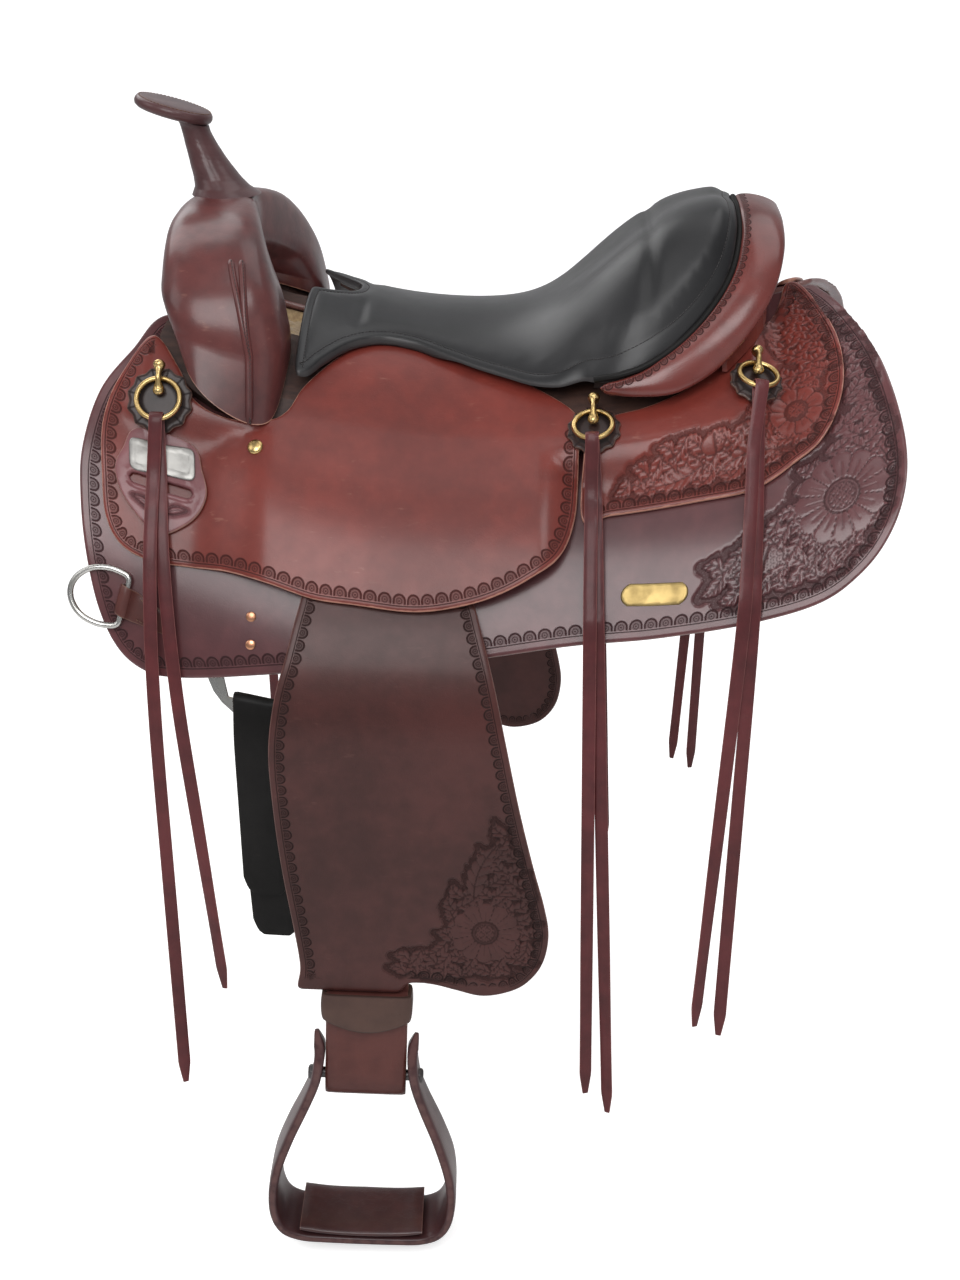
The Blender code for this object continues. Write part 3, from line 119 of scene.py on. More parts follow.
def pitch(x):
    front = ease((-x - 0.06) / 0.30)
    rear = ease((x - 0.06) / 0.32)
    return math.radians(BACK_PITCH + 6.0 * front - 4.0 * rear)


def rock(x):
    return BACK_MID + BACK_ROCK * ((x - BACK_LOW_X) / BACK_SPAN) ** 2


def back(x, fall, lift):
    """Point on the near side of the back: fall runs down from the spine edge, lift is outward."""
    start = pitch(x)
    angle = start + fall / BACK_RADIUS
    y = BACK_EDGE + BACK_RADIUS * (math.sin(angle) - math.sin(start)) + lift * math.sin(angle)
    z = rock(x) - BACK_RADIUS * (math.cos(start) - math.cos(angle)) + lift * math.cos(angle)
    return Vector((x, -y, z))


def spline(points, steps, closed=True):
    """Smooth run through the given points."""
    n = len(points)
    out = []
    for i in range(n if closed else n - 1):
        if closed:
            p = [Vector(points[(i + k - 1) % n]) for k in range(4)]
        else:
            p = [Vector(points[min(max(i + k - 1, 0), n - 1)]) for k in range(4)]
        for j in range(steps):
            t = j / steps
            b = (p[2] - p[0]) * t
            c = (2.0 * p[0] - 5.0 * p[1] + 4.0 * p[2] - p[3]) * t * t
            d = (3.0 * p[1] - p[0] - 3.0 * p[2] + p[3]) * t * t * t
            out.append(0.5 * (2.0 * p[1] + b + c + d))
    if not closed:
        out.append(Vector(points[-1]))
    return out


def evenly(points, step, closed=True):
    """The same run with its points an even distance apart."""
    run = [Vector(p) for p in points]
    if closed:
        run.append(run[0])
    lengths = [0.0]
    for a, b in zip(run, run[1:]):
        lengths.append(lengths[-1] + (b - a).length)
    count = max(3, round(lengths[-1] / step))
    places = [lengths[-1] * k / count for k in range(count if closed else count + 1)]
    out = []
    i = 0
    for place in places:
        while i < len(run) - 2 and lengths[i + 1] < place:
            i += 1
        span = max(lengths[i + 1] - lengths[i], 1e-9)
        out.append(run[i].lerp(run[i + 1], (place - lengths[i]) / span))
    return out


def run_length(points):
    return sum((b - a).length for a, b in zip(points, points[1:]))


def bar_and_leg(x, fall):
    bar = (BAR_THICK + LAY * 2.0) * window(x, -0.262, 0.232, 0.030) * (1.0 - ease((fall - 0.112) / 0.040))
    leg = LEG_ROOM * ease((x + 0.226) / 0.074) * ease((0.108 - x) / 0.046)
    return max(bar, leg)


def jockey_under(x, fall):
    return SKIRT_TOP + 2.0 * LAY + bar_and_leg(x, fall)


def jockey_top(x, fall):
    return jockey_under(x, fall) + JOCKEY


def skirt_top(x, fall):
    return SKIRT_TOP


def site_frame(x, fall, over, lift):
    """Frame on the near side: Y up the leather in a plumb plane, Z outward, X across."""
    def top(px, pf):
        return back(px, pf, over(px, pf))
    step = 0.016
    run = top(x + step, fall) - top(x - step, fall)
    upward = (top(x, fall - step) - top(x, fall + step)).normalized()
    out = run.cross(upward).normalized()
    run = upward.cross(out).normalized()
    centre = top(x, fall) + out * lift
    return Matrix((
        (run.x, upward.x, out.x, centre.x), (run.y, upward.y, out.y, centre.y),
        (run.z, upward.z, out.z, centre.z), (0.0, 0.0, 0.0, 1.0)))


# Mesh of one piece
def flipped(points):
    """The same places on the other side."""
    return [Vector((p[0], -p[1], p[2])) for p in points]


def turns(count, start=0.0):
    """Angles evenly round a full turn."""
    return [(k + start) * math.tau / count for k in range(count)]


def heading(run, i, closed=False):
    """Direction of a run of points at one of them."""
    if closed:
        return (run[(i + 1) % len(run)] - run[i - 1]).normalized()
    return (run[min(i + 1, len(run) - 1)] - run[max(i - 1, 0)]).normalized()


class Build:
    """Points and faces of one piece while it is made, and marks: values per point that its finish reads."""

    def __init__(self):
        self.points = []
        self.faces = []
        self.marks = {}

    def ring_run(self, rings, closed=False, **marks):
        """Skin through rings of equal count, with end faces unless it runs round."""
        first = len(self.points)
        n = len(rings[0])
        rows = len(rings)
        self.points += [Vector(p) for ring in rings for p in ring]
        for i in range(rows if closed else rows - 1):
            a = first + i * n
            b = first + (i + 1) % rows * n
            self.faces += [(a + k, a + (k + 1) % n, b + (k + 1) % n, b + k) for k in range(n)]
        if not closed:
            last = first + (rows - 1) * n
            self.faces += [tuple(range(first + n - 1, first - 1, -1)), tuple(range(last, last + n))]
        self.marks.update(marks)
        return self

    def wire(self, path, radius, count=12, closed=False):
        """Round bar along a path; radius may be one value or a list."""
        u = Vector((0.12, 0.05, 1.0)).normalized()
        rings = []
        for i, p in enumerate(path):
            run = heading(path, i, closed)
            u = u - run * u.dot(run)
            if u.length < 0.05:
                u = Vector((0.0, 1.0, 0.0)) - run * run.y
            u.normalize()
            w = run.cross(u)
            r = radius[i] if isinstance(radius, list) else radius
            rings.append([p + (u * math.cos(a) + w * math.sin(a)) * r for a in turns(count)])
        return self.ring_run(rings, closed)

    def turned(self, frame_at, section, count=40):
        """Solid turned about a frame's Z from (radius, height) pairs, first and last on the axis."""
        self.ring_run([[frame_at @ Vector((r * math.cos(a), r * math.sin(a), h)) for a in turns(count)]
                       for r, h in section[1:-1]])
        self.faces = self.faces[:-2]
        low = len(self.points)
        last = low - count
        self.points += [frame_at @ Vector((0.0, 0.0, section[k][1])) for k in (0, -1)]
        for k in range(count):
            m = (k + 1) % count
            self.faces += [(low, m, k), (low + 1, last + k, last + m)]
        return self

    def edged(self, value=0.01):
        """The same distance from the edge all over, so that no rim shows."""
        self.marks["edge"] = [value] * len(self.points)
        return self


def make_piece(name, made, finish, body, stands_for=(), smooth=45.0, off=False):
    """One finished piece that rides on a body."""
    mesh = bpy.data.meshes.new(name)
    points = flipped(made.points) if off else made.points
    mesh.from_pydata([tuple(p) for p in points], [], [tuple(f) for f in made.faces])
    for label, values in made.marks.items():
        layer = mesh.attributes.new(label, "FLOAT", "POINT")
        layer.data.foreach_set("value", np.asarray(values, np.float32))
    mesh.validate()
    bm = bmesh.new()
    bm.from_mesh(mesh)
    bmesh.ops.recalc_face_normals(bm, faces=bm.faces[:])
    if bm.calc_volume(signed=True) < 0.0:
        bmesh.ops.reverse_faces(bm, faces=bm.faces[:])
    bm.to_mesh(mesh)
    bm.free()
    mesh.shade_smooth()
    mesh.set_sharp_from_angle(angle=math.radians(smooth))
    mesh.materials.append(finish)
    piece = bpy.data.objects.new(name, mesh)
    bpy.context.scene.collection.objects.link(piece)
    if body:
        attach(piece, body)
    if stands_for:
        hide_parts(*stands_for)
    return piece


def both_sides(name, made, finish, body="saddle", node="", smooth=45.0):
    """The piece on the near side and its mirror image on the off side."""
    return [make_piece(name + side, made, finish, body if body == "saddle" else body + side,
                       (node + side,) if node else (), smooth, side == "_off") for side in ("_near", "_off")]


def superellipse(half_a, half_b, count, power):
    """Points of a section between an ellipse and a box."""
    out = []
    for angle in turns(count, 0.5):
        c = math.cos(angle)
        s = math.sin(angle)
        reach = (abs(c) ** power + abs(s) ** power) ** (-1.0 / power)
        out.append((half_a * c * reach, half_b * s * reach))
    return out


def skin(rows, closed=False):
    """Piece through rings of places, each with its distance from the edge."""
    rows = [list(row) for row in rows]
    return Build().ring_run([[p for p, _ in row] for row in rows], closed,
                            edge=[e for row in rows for _, e in row])


def strip(path, across, wide, thick, count, power, twist=None):
    """Flat strap along a path, rounded at its edges."""
    rows = []
    for i, p in enumerate(path):
        run = heading(path, i)
        side = (across - run * across.dot(run)).normalized()
        if twist:
            side = Matrix.Rotation(twist[i], 3, run) @ side
        out = run.cross(side).normalized()
        rows.append([(p + side * a + out * b, wide[i] / 2.0 - abs(a))
                     for a, b in superellipse(wide[i] / 2.0, thick / 2.0, count, power)])
    return skin(rows)


# Saddle strings, hanging from their rings
SITES = (
    ("front", -0.252, 0.122, 0.0275, 0.0200),
    ("mid", 0.106, 0.104, 0.0225, 0.0180),
    ("rear", 0.237, 0.086, 0.0225, 0.0180),
)
STRING_RUNS = {
    "front": (((-0.247, -0.560), (-0.207, -0.462)), 0.243, 0.322),
    "mid": (((0.112, -0.560), (0.132, -0.582)), 0.168, 0.262),
    "rear": (((0.205, -0.480), (0.226, -0.490)), 0.166, 0.268),
}
STRING_LENGTHS = {"front": (0.62, 0.52), "mid": (0.61, 0.63), "rear": (0.58, 0.59)}


def string_tail(x, fall, x_end, z_end, leave, last, extra):
    """Route of one tail, down the leathers and then plumb to its tip."""
    z_top = back(x, fall, 0.03).z
    pts = []
    for j in range(1, 7):
        f = fall + (last - fall) * j / 6.0
        if f <= leave:
            lift = jockey_top(x, f) + extra
        else:
            share = (f - leave) / (last - leave)
            lift = jockey_top(x, leave) * (1.0 - share) + SKIRT_TOP * share + extra
        p = back(x, f, lift)
        pts.append(Vector((x + (x_end - x) * (z_top - p.z) / (z_top - z_end), p.y, p.z)))
    low = pts[-1]
    out_y = low.y - 0.006
    x_low = low.x
    for share in (0.18, 0.5, 1.0):
        pts.append(Vector((x_low + (x_end - x_low) * share, out_y, low.z + (z_end - low.z) * share)))
    return pts


def ring_circle(frame_at, ring_r, count):
    """Line of a ring that hangs from its clip, and the height of its wire over the leather."""
    wire_z = ROSETTE + 0.0003 + RING_WIRE + 0.0002
    centre_r = ring_r - RING_WIRE
    circle = []
    for k in range(count):
        angle = math.tau * k / count
        hang_y = (math.cos(angle) - 1.0) * centre_r
        circle.append(frame_at @ Vector((math.sin(angle) * centre_r, centre_r + hang_y * math.cos(RING_TILT),
                                         wire_z - hang_y * math.sin(RING_TILT))))
    return circle


def string_routes(name, x, fall, ring_r):
    frame_at = site_frame(x, fall, jockey_top, 0.0014)
    turn = frame_at.to_3x3()
    up_dir = turn.col[1].copy()
    out_dir = turn.col[2].copy()
    hung = ring_circle(frame_at, ring_r, 16)[8]
    (end_a, end_b), leave, last = STRING_RUNS[name]
    fold = RING_WIRE + 0.0018 + STRING_THICK / 2.0
    start = fall + ring_r - RING_WIRE + 0.010
    first = string_tail(x - 0.0015, start, end_a[0], end_a[1], leave, last, 0.0105)
    second = string_tail(x + 0.0015, start, end_b[0], end_b[1], leave, last, 0.0072)
    over = hung + up_dir * fold
    outer = [over, hung + (out_dir + up_dir) * fold * 0.72, hung + out_dir * fold,
             hung + out_dir * fold - up_dir * 0.004]
    inner = [over, hung + (up_dir - out_dir) * fold * 0.72, hung - out_dir * fold]
    return outer + first, inner + second, turn.col[0].copy()


def string_pieces(finish):
    """Each lace is folded over its ring, and its two tails are seen from end to end."""
    for name, x, fall, _, ring_r in SITES:
        outer, inner, across = string_routes(name, x, fall, ring_r)
        for tail, route, way, length in zip("ab", (outer, inner), (1.0, -1.0), STRING_LENGTHS[name]):
            path = evenly(spline(route, 8, False), 0.0045, False)
            total = run_length(path)
            shares = [i / (len(path) - 1.0) for i in range(len(path))]
            wide = [STRING_WIDE * (0.45 + 0.55 * min(1.0, total * (1.0 - t) / 0.020)) for t in shares]
            twist = [way * math.radians(24.0) * ease((t - 0.42) / 0.5) * math.sin(t * 5.2) for t in shares]
            cut = strip(path, across, wide, STRING_THICK, 12, 4.0, twist)
            pieces = both_sides("lace_" + name + "_" + tail, cut, finish, "strings_" + name,
                                "strings_" + name)


# Node trees
def feed(socket, value):
    """Give a socket a changing value, a colour or a plain number."""
    if isinstance(value, Value):
        socket.id_data.links.new(value.socket, socket)
    else:
        socket.default_value = (*value, 1.0) if isinstance(value, tuple) else value


def sum_of(tree, operation, *parts, clamp=False):
    node = tree.nodes.new("ShaderNodeMath")
    node.operation = operation
    node.use_clamp = clamp
    for socket, part in zip(node.inputs, parts):
        feed(socket, part)
    return Value(node.outputs[0])


class Value:
    """A value that changes over a surface, so that sums of it read as arithmetic."""

    def __init__(self, socket):
        self.socket = socket
        self.tree = socket.id_data

    def __add__(self, other):
        return sum_of(self.tree, "ADD", self, other)

    def __sub__(self, other):
        return sum_of(self.tree, "SUBTRACT", self, other)

    def __rsub__(self, other):
        return sum_of(self.tree, "SUBTRACT", other, self)

    def __mul__(self, other):
        return sum_of(self.tree, "MULTIPLY", self, other)

    def __truediv__(self, other):
        return sum_of(self.tree, "DIVIDE", self, other)

    def __rtruediv__(self, other):
        return sum_of(self.tree, "DIVIDE", other, self)

    def __abs__(self):
        return sum_of(self.tree, "ABSOLUTE", self)

    def root(self):
        return sum_of(self.tree, "SQRT", self)

    def top(self, other):
        return sum_of(self.tree, "MAXIMUM", self, other)

    def step(self, low, high, out_low=0.0, out_high=1.0):
        """Smooth step from one number to another."""
        node = self.tree.nodes.new("ShaderNodeMapRange")
        node.interpolation_type = "SMOOTHSTEP"
        for label, value in zip(("Value", "From Min", "From Max", "To Min", "To Max"),
                                (self, low, high, out_low, out_high)):
            feed(node.inputs[label], value)
        return Value(node.outputs["Result"])


def texture(tree, kind, scale, stretch=None, **settings):
    where = tree.nodes.new("ShaderNodeTexCoord").outputs["Object"]
    if stretch:
        mapping = tree.nodes.new("ShaderNodeMapping")
        mapping.inputs["Scale"].default_value = stretch
        tree.links.new(where, mapping.inputs["Vector"])
        where = mapping.outputs["Vector"]
    node = tree.nodes.new(kind)
    tree.links.new(where, node.inputs["Vector"])
    feed(node.inputs["Scale"], scale)
    for label, value in settings.items():
        node.inputs[label].default_value = value
    return node


def noise(tree, scale, detail=3.0, stretch=None, rough=0.55):
    return Value(texture(tree, "ShaderNodeTexNoise", scale, stretch, Detail=detail,
                         Roughness=rough).outputs["Fac"])


def cells(tree, scale):
    return Value(texture(tree, "ShaderNodeTexVoronoi", scale).outputs["Distance"])


def mark(tree, label):
    node = tree.nodes.new("ShaderNodeAttribute")
    node.attribute_name = label
    return Value(node.outputs["Fac"])


# Shared effects, as node groups
def grain(tree, scale, crease):
    """Fine pebbled grain with soft creases; Tone is the slow change of shade over the hide."""
    fold = abs(noise(tree, 46.0, 6.0, (1.0, 1.6, 1.0), 0.68) - 0.5).step(0.0, 0.035, -1.0, 0.0)
    high = cells(tree, scale) * 0.55 + noise(tree, scale * 1.9, 4.0) * 0.45 + fold * crease
    return high, (noise(tree, 7.5, 5.0) * 0.75 + noise(tree, 60.0) * 0.25).step(0.30, 0.70)


def wear_and_sheen(tree, edge, width):
    """Rim of a cut edge, broken up by handling, and scuffs; a rim lighter than its leather is partly a rubbed
    edge and partly a painted highlight on the rounded edge.
    """
    rim = 1.0 - (edge * 1000.0 / (width * (noise(tree, 120.0, 4.0) * 1.4))).step(0.35, 1.0)
    scuff = noise(tree, 190.0, 5.0, (0.35, 1.0, 1.0)).step(0.60, 0.78)
    return rim, scuff * noise(tree, 14.0).step(0.45, 0.65)


def border(tree, edge, along, inset, pitch, line):
    """Row of arched border stamps, each with a seed inside, and the cut line beside them."""
    u = (sum_of(tree, "FRACT", along * 1000.0 / pitch) - 0.5) * 12.0
    v = (edge * 1000.0 - inset) * (12.0 / pitch)
    rise = (v - 2.4).top(0.0)
    hoop = (u * u + rise * rise).root()
    arch = abs(hoop - 4.7).step(1.15, 0.35) * v.step(-0.3, 0.3)
    within = hoop.step(4.9, 3.9) * v.step(0.0, 0.6)
    seed = (u * u + (v - 2.5) * (v - 2.5)).root()
    ring = abs(seed - 2.1).step(0.75, 0.25)
    pip = seed.step(0.9, 0.4)
    cut = abs(v + 1.3).step(0.60, 0.20) * line
    low = arch * 0.70 + within * 0.28 + (ring + pip) * 0.42 + cut * 0.60
    return low * -1.0, arch.top(ring * 0.8).top(pip.top(cut * 0.9)).top(within * 0.40)


def beaten(tree, relief):
    """Matted background between carved forms."""
    ground = (relief * -1.0).step(0.25, 0.75)
    dots = cells(tree, 620.0).step(0.15, 0.55)
    return dots * ground * -0.22, ground * (dots * 0.25 + 0.60)


def new_group(name, make, outputs, **inputs):
    tree = bpy.data.node_groups.new(name, "ShaderNodeTree")
    for label, value in inputs.items():
        socket = tree.interface.new_socket(label, in_out="INPUT", socket_type="NodeSocketFloat")
        socket.default_value = value
    for label in outputs:
        tree.interface.new_socket(label, in_out="OUTPUT", socket_type="NodeSocketFloat")
    start = tree.nodes.new("NodeGroupInput")
    end = tree.nodes.new("NodeGroupOutput")
    made = make(tree, *[Value(start.outputs[label]) for label in inputs])
    for label, value in zip(outputs, made):
        feed(end.inputs[label], value)
    return tree


GRAIN = new_group("leather_grain", grain, ("Height", "Tone"), Scale=700.0, Crease=0.5)
WEAR_AND_SHEEN = new_group("edge_wear_and_sheen", wear_and_sheen, ("Rim", "Scuff"), Edge=1.0, Width=1.5)
STAMP = new_group("border_stamp", border, ("Height", "Shade"), Edge=1.0, Along=0.0, Inset=8.0, Pitch=12.0,
                  Line=1.0)
BEATEN = new_group("beaten_ground", beaten, ("Height", "Shade"), Relief=0.0)


def use_group(tree, group, **values):
    node = tree.nodes.new("ShaderNodeGroup")
    node.node_tree = group
    for label, value in values.items():
        feed(node.inputs[label], value)
    return [Value(socket) for socket in node.outputs]


def mixed(tree, share, a, b):
    node = tree.nodes.new("ShaderNodeMix")
    node.data_type = "RGBA"
    for socket, value in zip((node.inputs["Factor"], node.inputs[6], node.inputs[7]), (share, a, b)):
        feed(socket, value)
    return Value(node.outputs[2])


# Finishes
def new_finish(name, roughness, metallic=0.0, coat=0.0, coat_rough=0.1, specular=0.5):
    mat = bpy.data.materials.new(name)
    mat.use_nodes = True
    shader = mat.node_tree.nodes["Principled BSDF"]
    for label, value in (("Roughness", roughness), ("Metallic", metallic), ("Coat Weight", coat),
                         ("Coat Roughness", coat_rough), ("Specular IOR Level", specular)):
        shader.inputs[label].default_value = value
    return mat, mat.node_tree, shader


def dressed(mat, shader, colour, height):
    """The finish with its colour, and its relief in millimetres."""
    feed(shader.inputs["Base Color"], colour)
    bump = mat.node_tree.nodes.new("ShaderNodeBump")
    bump.inputs["Distance"].default_value = MM
    bump.inputs["Strength"].default_value = 1.0
    feed(bump.inputs["Height"], height)
    feed(shader.inputs["Normal"], Value(bump.outputs["Normal"]))
    return mat


def leather(name, body, deep, rim, rough=0.42, coat=0.25, grain=700.0, bump=0.05, crease=0.5, stamp=None,
            carved=False, edged=True, rim_width=1.5, specular=0.25, coat_rough=0.20):
    """Dyed leather: shade over the hide, grain, rubbed or inked rim (lighter rims partly a painted highlight
    on the rounded edge), border stamps, matted ground.
    """
    mat, tree, shader = new_finish(name, rough, coat=coat, coat_rough=coat_rough, specular=specular)
    height, tone = use_group(tree, GRAIN, Scale=grain, Crease=crease)
    colour = mixed(tree, tone, deep, body)
    height = height * bump
    if edged:
        # Rim colour along the cut edge: rubbed or inked leather, and where it is lighter than the body, also
        # a painted highlight on the rounded edge.
        rim_wear_and_sheen, scuff = use_group(tree, WEAR_AND_SHEEN, Edge=mark(tree, "edge"), Width=rim_width)
        colour = mixed(tree, rim_wear_and_sheen * 0.85, colour, rim)
        colour = mixed(tree, scuff * 0.22, colour, rim)
    ink = tuple(c * 0.30 for c in deep)
    sunk = None
    if stamp:
        inset, pitch_mm, line = stamp
        low, shade = use_group(tree, STAMP, Edge=mark(tree, "edge"), Along=mark(tree, "along"), Inset=inset,
                               Pitch=pitch_mm, Line=line)
        sunk = shade * mark(tree, "border")
        colour = mixed(tree, sunk * 0.82, colour, ink)
        height = height + low * mark(tree, "border")
    if carved:
        low, shade = use_group(tree, BEATEN, Relief=mark(tree, "relief"))
        cut = mark(tree, "cut").step(0.15, 0.85)
        colour = mixed(tree, cut * 0.62, mixed(tree, shade * 0.68, colour, ink), ink)
        height = height + low
        sunk = shade.top(cut * 0.8).top(sunk or 0.0)
    spread = tone * -0.10 + (rough + 0.05)
    if sunk:
        spread = spread + sunk * 0.35
        feed(shader.inputs["Coat Weight"], sum_of(tree, "MULTIPLY_ADD", sunk, -coat, coat, clamp=True))
    feed(shader.inputs["Roughness"], spread)
    return dressed(mat, shader, colour, height)


def metal(name, colour, dull, rough):
    """Cast or drawn metal with a little tarnish and fine scratches."""
    mat, tree, shader = new_finish(name, rough, 1.0)
    haze = noise(tree, 60.0, 4.0).step(0.35, 0.80)
    feed(shader.inputs["Roughness"], haze * 0.12 + rough)
    return dressed(mat, shader, mixed(tree, haze, colour, dull),
                   noise(tree, 900.0, 3.0, (0.15, 1.0, 1.0)) * 0.004)


def wool(name, light, dark):
    """Shorn woolskin."""
    mat, tree, shader = new_finish(name, 0.95)
    shader.inputs["Sheen Weight"].default_value = 0.35
    shader.inputs["Sheen Roughness"].default_value = 0.6
    shade = noise(tree, 260.0, 6.0, None, 0.7) * 0.6 + noise(tree, 55.0, 4.0) * 0.4
    return dressed(mat, shader, mixed(tree, shade.step(0.38, 0.62), dark, light), shade * 1.6)


def rawhide(name, light, dark):
    """Rawhide or unfinished leather with fibres."""
    mat, tree, shader = new_finish(name, 0.62)
    fibre = noise(tree, 220.0, 6.0, (0.25, 1.0, 1.0), 0.65)
    shade = fibre * 0.5 + noise(tree, 16.0, 4.0) * 0.5
    return dressed(mat, shader, mixed(tree, shade.step(0.36, 0.64), dark, light), fibre * 0.18)


def thread(name, light, dark):
    """Waxed thread, its plies showing."""
    mat, tree, shader = new_finish(name, 0.5)
    ply = noise(tree, 2600.0, 2.0, (1.0, 1.0, 0.5))
    return dressed(mat, shader, mixed(tree, ply.step(0.4, 0.6), dark, light), ply * 0.06)


# Each leather's third colour is its rim; lighter rims are partly a painted highlight along the cut edges.
SKIRT_LEATHER = leather("skirt_leather", (0.120, 0.039, 0.041), (0.072, 0.022, 0.024), (0.18, 0.085, 0.075),
                        0.36, 0.65, stamp=(8.6, 12.0, 1.0), carved=True)
JOCKEY_LEATHER = leather("jockey_leather", (0.185, 0.032, 0.023), (0.112, 0.020, 0.015), (0.46, 0.22, 0.16),
                         0.35, 0.30, stamp=(5.0, 12.0, 1.0), carved=True, rim_width=1.8)
FENDER_LEATHER = leather("fender_leather", (0.072, 0.021, 0.018), (0.040, 0.012, 0.010), (0.15, 0.065, 0.052),
                         0.42, 0.20, stamp=(6.4, 10.5, 1.0), carved=True)
FORK_LEATHER = leather("fork_leather", (0.120, 0.034, 0.031), (0.052, 0.016, 0.016), (0.40, 0.20, 0.14), 0.34,
                       0.45)
ROLL_LEATHER = leather("roll_leather", (0.150, 0.031, 0.025), (0.080, 0.017, 0.014), (0.12, 0.038, 0.030),
                       0.30, 0.70, stamp=(2.2, 8.0, 0.0))
SEAT_LEATHER = leather("seat_leather", (0.0090, 0.0085, 0.0095), (0.0050, 0.0048, 0.0052),
                       (0.030, 0.026, 0.026), 0.42, 0.50, grain=900.0, bump=0.035, crease=0.25, specular=0.25,
                       coat_rough=0.36)
TRIM_LEATHER = leather("trim_leather", (0.105, 0.032, 0.026), (0.062, 0.019, 0.016), (0.15, 0.070, 0.052),
                       0.46, 0.15)
BELL_LEATHER = leather("bell_leather", (0.070, 0.026, 0.026), (0.040, 0.015, 0.016), (0.11, 0.050, 0.045),
                       0.40, 0.30)
BAND_LEATHER = leather("band_leather", (0.085, 0.044, 0.033), (0.055, 0.029, 0.023), (0.045, 0.024, 0.019),
                       0.50, 0.10)
TREAD_LEATHER = leather("tread_leather", (0.070, 0.026, 0.024), (0.038, 0.014, 0.014), (0.11, 0.050, 0.042),
                        0.34, 0.45, crease=1.0)
HORN_LEATHER = leather("horn_leather", (0.085, 0.036, 0.036), (0.048, 0.020, 0.021), (0.1, 0.05, 0.04), 0.40,
                       0.30, edged=False)
PLAIN_JOCKEY = leather("plain_chestnut_leather", (0.200, 0.040, 0.028), (0.110, 0.024, 0.018),
                       (0.3, 0.1, 0.1), 0.38, 0.25, edged=False)
BLACK_STRAP = leather("black_strap_leather", (0.009, 0.0080, 0.0075), (0.0045, 0.004, 0.0036),
                      (0.025, 0.020, 0.017), 0.55, 0.05, specular=0.15)
LACE_LEATHER = leather("lace_leather", (0.115, 0.021, 0.023), (0.058, 0.012, 0.013), (0.17, 0.055, 0.050),
                       0.44, 0.15, bump=0.09, rim_width=1.0)
WOOLSKIN = wool("woolskin", (0.50, 0.36, 0.19), (0.30, 0.19, 0.09))
# The tree's rawhide is painted dark brown as painted shade, so that where it shows between the leathers it
# reads as the shadow in those gaps.
RAW_TREE = rawhide("rawhide_dark_as_painted_shade", (0.070, 0.030, 0.020), (0.030, 0.013, 0.010))
BRASS = metal("brass", (0.70, 0.50, 0.22), (0.42, 0.28, 0.10), 0.26)
PLATE_BRASS = metal("plate_brass", (0.44, 0.32, 0.13), (0.28, 0.20, 0.08), 0.42)
DARK_STEEL = metal("dark_steel", (0.12, 0.11, 0.11), (0.06, 0.055, 0.055), 0.35)
COPPER = metal("copper", (0.78, 0.38, 0.22), (0.42, 0.19, 0.11), 0.28)
NICKEL = metal("nickel", (0.66, 0.65, 0.62), (0.42, 0.41, 0.38), 0.22)
SILVER = metal("silver", (0.40, 0.39, 0.37), (0.24, 0.23, 0.22), 0.46)
SEAT_THREAD = thread("seat_thread", (0.035, 0.030, 0.030), (0.012, 0.010, 0.010))
DARK_THREAD = thread("dark_thread", (0.040, 0.016, 0.014), (0.018, 0.008, 0.007))
BROWN_THREAD = thread("brown_thread", (0.16, 0.075, 0.045), (0.07, 0.03, 0.02))
string_pieces(LACE_LEATHER)


# Flat sheets cut from an outline
def measure(loop, pts):
    """Distance of each point from a closed outline, and how far along it the nearest place lies."""
    a = np.array([(p[0], p[1]) for p in loop])
    run = np.roll(a, -1, 0) - a
    length = np.hypot(run[:, 0], run[:, 1])
    start = np.concatenate(([0.0], np.cumsum(length)[:-1]))
    far = np.empty(len(pts))
    along = np.empty(len(pts))
    for k in range(0, len(pts), 1500):
        off = pts[k:k + 1500, None, :] - a
        t = np.clip((off * run).sum(-1) / np.maximum(length ** 2, 1e-15), 0.0, 1.0)
        gap = off - run * t[..., None]
        d = np.hypot(gap[..., 0], gap[..., 1])
        i = d.argmin(1)
        rows = np.arange(len(i))
        far[k:k + 1500] = d[rows, i]
        along[k:k + 1500] = start[i] + t[rows, i] * length[i]
    return far, along, start[-1] + length[-1]


def inside(loop, pts):
    """Whether each point lies within a closed outline."""
    a = np.array([(p[0], p[1]) for p in loop])
    crossed = np.zeros(len(pts), int)
    for (ax, ay), (bx, by) in zip(a, np.roll(a, -1, 0)):
        span = (ay > pts[:, 1]) != (by > pts[:, 1])
        with np.errstate(divide="ignore", invalid="ignore"):
            where = ax + (pts[:, 1] - ay) * (bx - ax) / (by - ay if by != ay else 1e-12)
        crossed += span & (pts[:, 0] < where)
    return crossed % 2 == 1


def counter(loop):
    """The outline with its points running anticlockwise."""
    area = sum(a[0] * b[1] - b[0] * a[1] for a, b in zip(loop, loop[1:] + loop[:1]))
    return loop if area > 0.0 else loop[::-1]


def drawn_in(loop, amount):
    """The outline moved inward."""
    runs = [heading(loop, i, True) for i in range(len(loop))]
    return [(p.x - run.y * amount, p.y + run.x * amount) for p, run in zip(loop, runs)]


def grid(low_x, high_x, low_y, high_y, cell):
    """Points in staggered rows over a rectangle."""
    xs = np.arange(math.ceil(low_x / cell), math.floor(high_x / cell) + 1) * cell
    ys = np.arange(math.ceil(low_y / cell), math.floor(high_y / cell) + 1) * cell
    gx, gy = np.meshgrid(xs, ys)
    gx = gx + cell * 0.25 * (np.arange(len(ys)) % 2)[:, None]
    return np.stack((gx.ravel(), gy.ravel()), 1)


